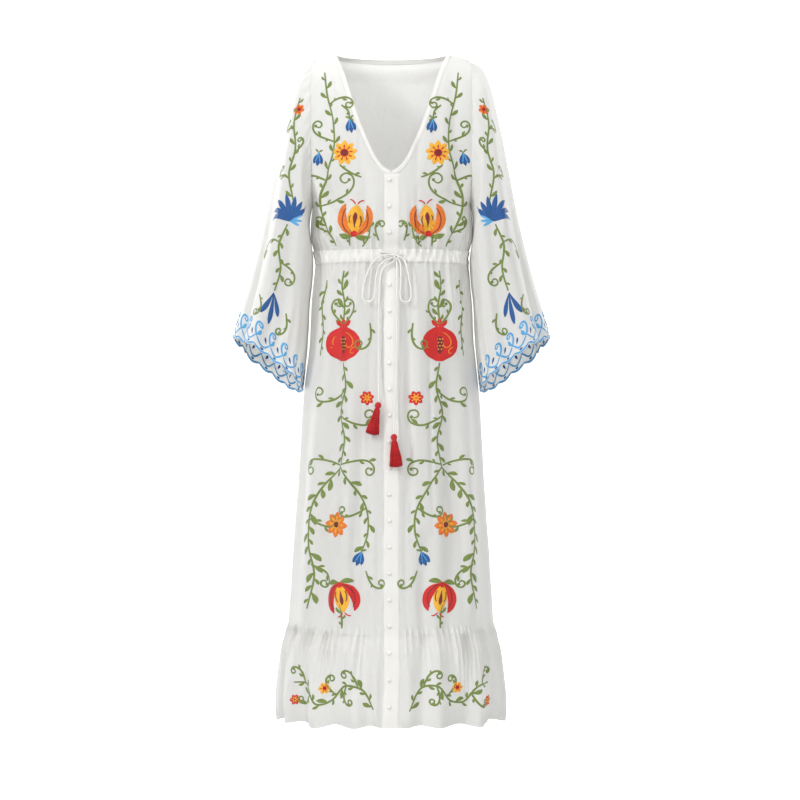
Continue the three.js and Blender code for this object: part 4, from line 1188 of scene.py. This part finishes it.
# comma leaves open from their stem and bend back to it, in degrees; a stem is bare from where it curls up
commaLeaf = {"open": 58, "bend": 44, "first": 0.6, "curledTo": 0.50, "plainTo": 0.97}
stemLook = {"thick": 0.0020, "budLength": 0.006, "budHalf": 0.0033}


def stem(surface, path, every, size, curled):
    # a stem with comma leaves to its two sides by turns, and a round bud where it curls up
    sew(surface, "green", path, stemLook["thick"])
    length = pathLength(path)
    along = np.degrees(np.unwrap(np.arctan2(*np.gradient(path, axis=0).T[::-1])))
    end = length * commaLeaf["curledTo" if curled else "plainTo"]
    places = np.arange(commaLeaf["first"] * every, end, every)
    for i, place in enumerate(places):
        k = int(place / length * (len(path) - 1))
        turn = 1 if i % 2 else -1
        reach = size * (0.85 + 0.25 * math.sin(2.1 * i + 40 * path[0, 0]))
        heading = along[k] + commaLeaf["open"] * turn
        leaf(surface, "green", *path[k], heading, reach, bend=-commaLeaf["bend"] * turn)
    if curled:
        bud = curve(*path[-1], along[-1], stemLook["budLength"])
        sew(surface, "green", bud, stemLook["budHalf"], "round")


def vine(surface, x, z, heading, length, bend, curl, every, size):
    # a free stem, which ends in a bud where it curls far round
    stem(surface, curve(x, z, heading, length, bend, curl), every, size, abs(curl) > 90)


def trail(surface, points, every, size):
    # a long stem through given points
    stem(surface, smoothPath(points, stitch["station"]), every, size, False)


def daisy(surface, x, z, size, petals, outer, inner, heart, turn=0):
    # petals round a domed heart, each with a narrow stroke on it, and a ring. turn is where the first points
    rim = 0.28 * size
    for i in range(petals):
        heading = turn + 360 * i / petals
        ahead = np.array([math.cos(math.radians(heading)), math.sin(math.radians(heading))])
        start = np.array([x, z]) + 0.26 * size * ahead
        sew(surface, outer, curve(*start, heading, 0.74 * size), 2.1 * size / petals, "petal")
        sew(surface, inner, curve(*start, heading, 0.40 * size), 0.7 * size / petals, "drop", 0.0005)
    sew(surface, heart, curve(x - 0.26 * size, z, 0, 0.52 * size), 0.26 * size, "round", 0.0004)
    sew(surface, inner, curve(x + rim, z, 90, 2 * math.pi * rim, 360), 0.0011, "line", 0.0009)


def tulip(surface, x, z, size, turn, body="yellow", wings="orange", trim="maroon"):
    # a middle petal, two that open to the sides, and their dark outlines; turn is where it points
    ahead = math.radians(turn)

    def at(forward, aside):
        return (x + size * (forward * math.cos(ahead) - aside * math.sin(ahead)),
                z + size * (forward * math.sin(ahead) + aside * math.cos(ahead)))

    sew(surface, body, curve(*at(0.0, 0), turn, 0.84 * size), 0.23 * size, "petal")
    sew(surface, trim, curve(*at(0.18, 0), turn, 0.44 * size), 0.07 * size, "drop", 0.0006)
    for aside in (1, -1):
        wing = curve(*at(0.0, 0.06 * aside), turn + 66 * aside, 1.0 * size, -100 * aside)
        wingLine = curve(*at(0.0, 0.10 * aside), turn + 66 * aside, 0.86 * size, -104 * aside)
        innerLine = curve(*at(0.20, 0.14 * aside), turn + 26 * aside, 0.36 * size, -60 * aside)
        feeler = curve(*at(0.86, 0.03 * aside), turn + 24 * aside, 0.22 * size, 60 * aside)
        sew(surface, wings, wing, 0.135 * size, "petal", 0.0002)
        sew(surface, trim, wingLine, 0.0013, "line", 0.0007)
        sew(surface, trim, innerLine, 0.0011, "line", 0.0006)
        sew(surface, "red", feeler, 0.0013, "line", 0.0003)
        leaf(surface, "green", *at(-0.02, 0), turn + 128 * aside, 0.44 * size, 0.08 * size, bend=-70 * aside)
    sew(surface, "red", curve(*at(-0.08, 0), turn, 0.18 * size), 0.11 * size, "round", 0.0005)


def bell(surface, x, z, size, turn):
    # three blue petals with light lines between them, and two leaves behind
    for spread in (-26, 0, 26):
        length = size * (1 - abs(spread) / 260)
        leaf(surface, "blue", x, z, turn + spread, length, 0.17 * size, -0.6 * spread)
    for spread in (-13, 13):
        sew(surface, "lightBlue", curve(x, z, turn + spread, 0.72 * size), 0.0010, "line", 0.0006)
    leaf(surface, "green", x, z, turn + 150, 0.4 * size, 0.07 * size, -40)
    leaf(surface, "green", x, z, turn - 150, 0.4 * size, 0.07 * size, 40)


def pomegranate(surface, x, z, size):
    # a round red fruit with a crown, scrolls on its sides and a window of seeds
    sew(surface, "red", curve(x, z + 0.92 * size, -90, 1.84 * size), size, "round")
    for aside in (1, -1):
        # headings on the left side, and what they are on the right
        crown, upper, lower = (66, -20, 200) if aside > 0 else (114, 200, -20)
        leaf(surface, "red", x + 0.10 * size * aside, z + 0.86 * size, crown, 0.52 * size, 0.13 * size,
             -30 * aside)
        high = (x + 0.16 * size * aside, z + 0.62 * size)
        low = (x + 0.74 * size * aside, z - 0.16 * size)
        highScroll = curve(*high, upper, 1.5 * size, -96 * aside, -190 * aside)
        lowScroll = curve(*low, lower, 0.62 * size, 40 * aside, 200 * aside)
        sew(surface, "orange", highScroll, 0.0014, "line", 0.0007)
        sew(surface, "orange", lowScroll, 0.0012, "line", 0.0007)
    sew(surface, "red", curve(x, z + 0.88 * size, 90, 0.54 * size), 0.12 * size, "petal")
    sew(surface, "maroon", curve(x, z + 0.42 * size, -90, 0.96 * size), 0.24 * size, "petal", 0.0004)
    for row, height in enumerate((0.26, 0.08, -0.10, -0.28)):
        for aside in ((-0.08, 0.08) if row % 2 else (-0.14, 0, 0.14)):
            seed = curve(x + aside * size - 0.0012, z + height * size, 0, 0.0034)
            sew(surface, "yellow", seed, 0.0014, "round", 0.0009)


# long stems as points to pass through (x, z), a leaf every, and its size
trails = {
    "bodice": [
        ([(0.112, -0.402), (0.132, -0.36), (0.143, -0.305), (0.132, -0.255), (0.116, -0.205), (0.119, -0.15),
          (0.132, -0.1), (0.137, -0.045)], 0.019, 0.019),
        ([(0.06, -0.404), (0.047, -0.385), (0.042, -0.35)], 0.013, 0.013),
        ([(0.101, -0.116), (0.088, -0.128), (0.084, -0.146)], 0.013, 0.01),
    ],
    "skirt": [
        ([(0.1, -0.56), (0.097, -0.52), (0.103, -0.485), (0.099, -0.452)], 0.0125, 0.023),
        ([(0.1, -0.64), (0.092, -0.69), (0.106, -0.742), (0.094, -0.795), (0.104, -0.852)], 0.0145, 0.021),
        ([(0.104, -0.852), (0.075, -0.892), (0.05, -0.94), (0.048, -0.985), (0.06, -1.02)], 0.0155, 0.02),
        ([(0.104, -0.852), (0.138, -0.886), (0.164, -0.94), (0.17, -1.005), (0.16, -1.07), (0.176, -1.14)],
         0.0135, 0.024),
        ([(0.146, -0.47), (0.154, -0.52), (0.148, -0.57), (0.155, -0.625)], 0.016, 0.015),
    ],
    "flounce": [
        ([(0.036, -1.338), (0.06, -1.296), (0.092, -1.29), (0.122, -1.322), (0.15, -1.326), (0.178, -1.292),
          (0.207, -1.29)], 0.0145, 0.019),
    ],
    "sleeve": [
        ([(0.2, -0.308), (0.209, -0.252), (0.196, -0.2), (0.199, -0.146), (0.187, -0.092)], 0.018, 0.017),
        ([(0.212, -0.356), (0.229, -0.4), (0.226, -0.448), (0.238, -0.492)], 0.0165, 0.017),
    ],
}
# stems that end in a curl: x, z, heading, length, bend, curl, a leaf every, its size
curls = {
    "bodice": [
        (0.142, -0.32, 158, 0.15, 20, -420, 0.022, 0.016), (0.117, -0.19, 20, 0.098, -10, 400, 0.02, 0.013),
        (0.128, -0.112, 150, 0.092, 20, 400, 0.02, 0.012),
        (0.124, -0.376, 28, 0.074, -20, 380, 0.02, 0.012), (0.136, -0.268, 30, 0.066, 0, -360, 0.02, 0.012),
        (0.084, -0.402, 84, 0.04, 20, 0, 0.011, 0.013), (0.026, -0.392, 70, 0.07, 10, 360, 0.018, 0.01),
        (0.103, -0.238, 226, 0.05, -30, 0, 0.014, 0.011),
    ],
    "skirt": [
        (0.1, -0.562, 140, 0.096, -30, -360, 0.02, 0.013), (0.1, -0.562, 40, 0.096, 30, 360, 0.02, 0.013),
        (0.093, -0.696, 322, 0.128, 20, 400, 0.022, 0.016),
        (0.105, -0.748, 212, 0.13, -20, -400, 0.022, 0.016),
        (0.101, -0.846, 166, 0.12, -10, 420, 0.022, 0.016),
        (0.107, -0.848, 18, 0.128, 10, -420, 0.022, 0.016),
        (0.168, -0.956, 214, 0.1, -10, -400, 0.022, 0.015),
        (0.052, -0.934, 330, 0.09, -20, 400, 0.022, 0.013),
        (0.165, -1.05, 206, 0.096, 20, 400, 0.022, 0.014), (0.1, -1.176, 96, 0.048, -20, 0, 0.012, 0.015),
        (0.044, -0.56, 262, 0.104, 20, 400, 0.02, 0.012),
        (0.052, -1.06, 252, 0.088, -20, -400, 0.02, 0.012),
    ],
    "flounce": [
        (0.066, -1.292, 70, 0.08, -10, -400, 0.02, 0.012), (0.112, -1.312, 40, 0.08, 20, 400, 0.02, 0.012),
        (0.09, -1.29, 290, 0.07, -20, -400, 0.02, 0.011),
        (0.164, -1.306, 300, 0.072, -10, 400, 0.02, 0.011),
        (0.184, -1.29, 76, 0.072, -10, -400, 0.02, 0.011),
    ],
    "sleeve": [
        (0.208, -0.262, 30, 0.062, -10, 380, 0.02, 0.011),
        (0.197, -0.208, 148, 0.056, -20, -380, 0.019, 0.01),
        (0.198, -0.16, 34, 0.056, -10, 370, 0.019, 0.01),
        (0.227, -0.394, 24, 0.084, -20, -400, 0.021, 0.012),
        (0.227, -0.432, 216, 0.1, 10, 400, 0.021, 0.013), (0.27, -0.5, 250, 0.078, 20, 400, 0.02, 0.012),
        (0.214, -0.54, 262, 0.082, 10, 400, 0.02, 0.012),
    ],
}
# on the back are the first of the same stems: how many trails and how many curls
backStems = {"bodice": (1, 4), "skirt": (4, 8), "flounce": (1, 3)}
for surface, (trailCount, curlCount) in backStems.items():
    trails[surface + "Back"] = trails[surface][:trailCount]
    curls[surface + "Back"] = curls[surface][:curlCount]


def sewMotifs():
    for surface, rows in trails.items():
        for row in rows:
            trail(surface, *row)
    for surface, rows in curls.items():
        for row in rows:
            vine(surface, *row)
    daisy("bodice", 0.094, -0.214, 0.025, 9, "yellow", "red", "maroon", 10)
    bell("bodice", 0.084, -0.146, 0.028, 262)
    bell("bodice", 0.148, -0.212, 0.026, 280)
    tulip("bodice", 0.077, -0.378, 0.070, 96)
    daisy("skirt", 0.112, -0.968, 0.026, 8, "orange", "yellow", "maroon", 5)
    tulip("skirt", 0.103, -1.088, 0.066, 262, "yellow", "red", "maroon")
    bell("skirt", 0.061, -1.022, 0.030, 290)
    daisy("skirt", 0.050, -0.712, 0.015, 7, "red", "yellow", "orange", 12)
    pomegranate("skirt", 0.100, -0.602, 0.038)
    daisy("flounce", 0.136, -1.296, 0.012, 6, "yellow", "red", "maroon", 0)
    daisy("flounce", 0.206, -1.326, 0.011, 6, "red", "yellow", "maroon", 0)
    for i in range(7):
        leaf("sleeve", "blue", 0.208, -0.350, 28 + 21 * i, 0.056 - 0.005 * abs(i - 3), 0.0056, bend=-16)
    for i in range(3):
        leaf("sleeve", "lightBlue", 0.208, -0.350, 154 + 24 * i, 0.030 - 0.003 * i, 0.0030, bend=14)
    for heading, reach in ((254, 0.050), (274, 0.064), (294, 0.050)):
        leaf("sleeve", "blue", 0.240, -0.496, heading, reach, 0.0046, bend=12, kind="drop")
    daisy("sleeve", 0.189, -0.118, 0.012, 6, "orange", "red", "maroon", 20)
    daisy("bodiceBack", 0.094, -0.214, 0.025, 9, "yellow", "red", "maroon", 10)
    pomegranate("skirtBack", 0.100, -0.602, 0.038)
    daisy("skirtBack", 0.112, -0.968, 0.026, 8, "orange", "yellow", "maroon", 5)


# the sleeve's edge as a circle of this radius, its mean length and how much longer it is at the outer side
cuff = {
    "radius": 0.082, "length": 0.4925, "longer": 0.1075,
    # heights above the edge of the line along it and of the arches, and how far the arches bow
    "edge": 0.0035, "arch": 0.0240, "bow": 0.0105,
}


def sewCuff():
    # light blue scrolls along the sleeve's scallops, on both of its faces: x runs round the hem, z is the
    # height above the edge
    width = 2 * math.pi * cuff["radius"] / scallop["count"]
    share = np.linspace(0, 1, 16)
    for surface in ("cuff", "cuffInside"):
        for i in range(scallop["count"]):
            start = i * width
            along = start + width * share
            edge = together(along, cuff["edge"])
            arch = together(along, cuff["arch"] - cuff["bow"] * np.sin(math.pi * share))
            sew(surface, "lightBlue", edge, 0.0022, "line")
            sew(surface, "lightBlue", arch, 0.0020, "line")
            middle = start + 0.5 * width
            sew(surface, "blue", curve(middle - 0.0035, 0.0086, 0, 0.0070), 0.0021, "round")
            sew(surface, "lightBlue", curve(start, cuff["arch"], 66, 0.056, 20, 400), 0.0022)
            sew(surface, "lightBlue", curve(start, cuff["arch"] - 0.0005, 128, 0.020, -30), 0.0030, "leaf")
            sew(surface, "blue", curve(start + 0.010, cuff["arch"] - 0.0005, 60, 0.013, 20), 0.0024, "leaf")


sleeveLines = np.linspace(0, 1, 260)


def sleevePlace(x, z):
    # the angle round the sleeve and the share of its length, for a plan wrapped round from the middle of its
    # front. Each point falls between two of the sleeve's lines, and three rounds settle the rise to its back
    _, middle, reach = sleeveFrame(sleeveLines)
    pick = np.arange(len(x))
    share = np.zeros_like(x)
    v = np.zeros_like(x)
    for _ in range(3):
        level = z - readTable(sleeve, "rise", v * sleeveSteps, key="step") * np.cos(share)
        side = reach[0] * (level[:, None] - middle[1]) - reach[1] * (x[:, None] - middle[0])
        k = np.clip(np.argmax(side >= 0, axis=1), 1, len(sleeveLines) - 1)
        before, after = side[pick, k - 1], side[pick, k]
        v = sleeveLines[k - 1] + np.clip(-before / (after - before), 0, 1) * sleeveLines[1]
        _, centre, arm = sleeveFrame(v)
        share = ((x - centre[0]) * arm[0] + (level - centre[1]) * arm[1]) / (arm[0] ** 2 + arm[1] ** 2)
    return share - math.pi / 2, v


def onCloth(surface, plan, up, side):
    # a plan's points on the surface that it is sewn to, up from the cloth
    x, z = plan.T
    if surface == "cuffInside":
        up = -cloth["thickness"] - up
    if surface.startswith("cuff"):
        angle = x / cuff["radius"]
        return sleevePoint(angle, 1 - z / (cuff["length"] + cuff["longer"] * np.cos(angle)), side, up)
    if surface == "sleeve":
        return sleevePoint(*sleevePlace(x, z), side, up)
    if surface.startswith("bodice"):
        return bodicePoint(side * x, z, surface == "bodice", up)
    # the first terms of the arcsine's series, which stay finite at the side seam
    share = x / readTable(torso, "half", z)
    angle = share + share ** 3 / 6
    return bodyPoint(side * (math.pi - angle if surface.endswith("Back") else angle), z, up)


def makeEmbroidery():
    # one piece for each color, with its strokes of both halves
    sewMotifs()
    sewCuff()
    for color in threads:
        points, faces, corners, total = [], [], [], 0
        for (hue, surface), strokes in sewn.items():
            if hue != color:
                continue
            plan = np.vstack([stroke[0] for stroke in strokes])
            up = np.concatenate([stroke[1] for stroke in strokes])
            for side in (1, -1):
                points.append(onCloth(surface, plan, up, side))
                flip = side * (-1 if surface.endswith(("Back", "Inside")) else 1) < 0
                for laid, _, quads, uv in strokes:
                    faces.append((quads[:, ::-1] if flip else quads) + total)
                    corners.append(uv.reshape(-1, 4, 2)[:, ::-1].reshape(-1, 2) if flip else uv)
                    total += len(laid)
        piece = addObject("embroidery_" + color, np.vstack(points), np.vstack(faces), threads[color],
                          np.vstack(corners), sharpEdge)


makeEmbroidery()
print("embroidery made")


# sewing thread: short raised stitches in rows along the bands, hems and seams

sewing = {"length": 0.0023, "radius": 0.00024, "every": 0.0033, "out": 0.0001, "lifted": 0.0012, "trim": 3}
# the bead's corners: its two ends, its two sides, its top and its bottom
beadFaces = np.array([
    [0, 2, 4], [2, 1, 4], [1, 3, 4], [3, 0, 4], [2, 0, 5], [1, 2, 5], [3, 1, 5], [0, 3, 5],
])


def makeStitches(name, rows):
    # each stitch is a six-cornered bead stretched along its row. A row is its points and the same points
    # lifted
    points, faces, total = [], [], 0
    half, radius = sewing["length"] / 2, sewing["radius"]
    for laid, lifted in rows:
        row = resample(np.hstack([laid, lifted - laid]), 0.001)
        step = pathLength(row[:, :3]) / (len(row) - 1)
        skip = max(1, int(round(sewing["every"] / step)))
        picked = np.arange(sewing["trim"], len(row) - sewing["trim"], skip)
        place = row[picked, :3]
        along = unit(row[picked + 1, :3] - place)
        up = unit(row[picked, 3:])
        aside = np.cross(along, up)
        corners = [place - along * half, place + along * half, place - aside * radius,
                   place + aside * radius, place + up * radius, place - up * radius]
        points.append(np.stack(corners, axis=1).reshape(-1, 3))
        faces.append((beadFaces[None] + total + 6 * np.arange(len(place))[:, None, None]).reshape(-1, 3))
        total += 6 * len(place)
    faces = np.vstack(faces)
    uv = np.tile(np.array([[0, 0], [0.002, 0], [0.002, 0.0005]]), (len(faces), 1))
    piece = addObject(name, np.vstack(points), faces, sewingThread, uv)
    return piece


def stitchRow(place):
    # place gives a row's points for a height off the cloth
    return place(sewing["out"]), place(sewing["lifted"])


def stitchRows():
    # both edges of the front and neck bands, the armholes, the casing, the flounce's seam and the hem
    bandZ = np.linspace(placket["top"] - 0.004, hem + 0.004, 500)
    level = np.linspace(-0.03, -0.305, 120)
    besideArm = readTable(torso, "half", level) - 0.003
    turns = np.linspace(0, 2 * math.pi, 400)
    rows = []
    for side in sides.values():
        edge = side * (placket["half"] - 0.0022)
        bandAngle = np.arcsin(edge / readTable(torso, "half", bandZ))
        rows.append(stitchRow(lambda up: bodyPoint(bandAngle, bandZ, proud + 0.0002 + up)))
        for gap in (0.0016, neck["band"] - 0.0016):
            line = besideNeck(gap)
            line = line[line[:, 1] < -0.004]
            x, z = side * line[:, 0], line[:, 1]
            rows.append(stitchRow(lambda up: bodicePoint(x, z, True, proud / 2 + up)))
        for before in (True, False):
            rows.append(stitchRow(lambda up: bodicePoint(side * besideArm, level, before, up)))
        rows.append(stitchRow(lambda up: sleevePoint(turns, 0.006 + 0 * turns, side, up)))
    around = np.linspace(0.11, 2 * math.pi - 0.11, 1200)
    for z, out in ((waist["top"] - 0.0026, proud + 0.0004), (waist["bottom"] + 0.0022, proud + 0.0004),
                   (flounceTop + 0.0030, 0.0), (hem + 0.0090, 0.0), (hem + 0.0110, 0.0)):
        rows.append(stitchRow(lambda up: bodyPoint(around, z + 0 * around, out + up)))
    return rows


makeStitches("sewing", stitchRows())
print("stitches made")


# floor and wall, the lights, and the white that the camera sees round them

stage = {"floor": -1.62, "wall": 6.8, "front": -9.0, "half": 9.0, "height": 7.0, "bend": 3.0}


def makeStage():
    # one sheet: the floor, a quarter circle and the wall, the same profile carried across
    bend = stage["bend"]
    turn = np.linspace(0, math.pi / 2, 20)
    y = np.concatenate([[stage["front"]], stage["wall"] - bend + bend * np.sin(turn), [stage["wall"]]])
    z = np.concatenate([[0], bend - bend * np.cos(turn), [stage["height"]]]) + stage["floor"]
    x = np.linspace(-stage["half"], stage["half"], 2)
    points = together(x[None], y[:, None], z[:, None])
    mesh = bpy.data.meshes.new("backdrop")
    mesh.from_pydata(points.reshape(-1, 3), [], gridFaces(len(y), 2)[:, ::-1])
    mesh.shade_smooth()
    material, _, principled = newMaterial(
        "backdrop", Roughness=0.9, Specular_IOR_Level=0.1, Emission_Strength=0.8)
    principled.inputs["Base Color"].default_value = (0.93, 0.93, 0.93, 1)
    principled.inputs["Emission Color"].default_value = (1, 1, 1, 1)
    mesh.materials.append(material)
    backdrop = bpy.data.objects.new("backdrop", mesh)
    bpy.context.collection.objects.link(backdrop)
    backdrop.visible_diffuse = False


lights = {
    "key": {"place": (-3.3, -2.8, 1.6), "aim": (0, 0, -0.7), "size": (0.9, 1.3), "power": 108},
    "fill": {"place": (3.2, -3.0, 0.2), "aim": (0, 0, -0.8), "size": (2.0, 2.4), "power": 26},
    "above": {"place": (0.6, -4.0, 1.9), "aim": (0, 0, -0.5), "size": (1.4, 1.4), "power": 44},
    "top": {"place": (0, -0.5, 2.4), "aim": (0, 0, -0.7), "size": (2.0, 2.0), "power": 27},
    "low": {"place": (0, -2.6, -1.58), "aim": (0, 0, -1.0), "size": (2.6, 1.2), "power": 26},
    "backLeft": {"place": (-2.2, 1.7, 0.5), "aim": (0, 0, -0.2), "size": (1.0, 1.6), "power": 54},
    "backRight": {"place": (2.2, 1.7, 0.5), "aim": (0, 0, -0.2), "size": (1.0, 1.6), "power": 46},
}
# the white round the floor: how much it lights the dress, and how bright the camera sees it
glow = {"given": 0.44, "seen": 1.1}


def addLight(name, place, aim, size, power):
    # a soft rectangle at its place, turned to its aim
    lamp = bpy.data.lights.new(name, "AREA")
    lamp.shape = "RECTANGLE"
    lamp.size, lamp.size_y = size
    lamp.energy = power
    holder = bpy.data.objects.new(name, lamp)
    holder.location = place
    away = np.array(place, dtype=float) - np.array(aim, dtype=float)
    holder.rotation_euler = (math.acos(away[2] / np.linalg.norm(away)), 0, math.atan2(away[0], -away[1]))
    bpy.context.collection.objects.link(holder)


def makeWorld():
    world = bpy.data.worlds.new("studio")
    world.use_nodes = True
    tree = world.node_tree
    seen = node(tree, "ShaderNodeLightPath")
    level = node(tree, "ShaderNodeMapRange",
                 {0: seen.outputs["Is Camera Ray"], 3: glow["given"], 4: glow["seen"]})
    tree.links.new(level.outputs[0], tree.nodes["Background"].inputs["Strength"])
    tree.nodes["Background"].inputs["Color"].default_value = (1, 1, 1, 1)
    bpy.context.scene.world = world


makeStage()
for name, light in lights.items():
    addLight(name, **light)
makeWorld()
bpy.context.scene.view_settings.view_transform = "Standard"
print("stage and light made")
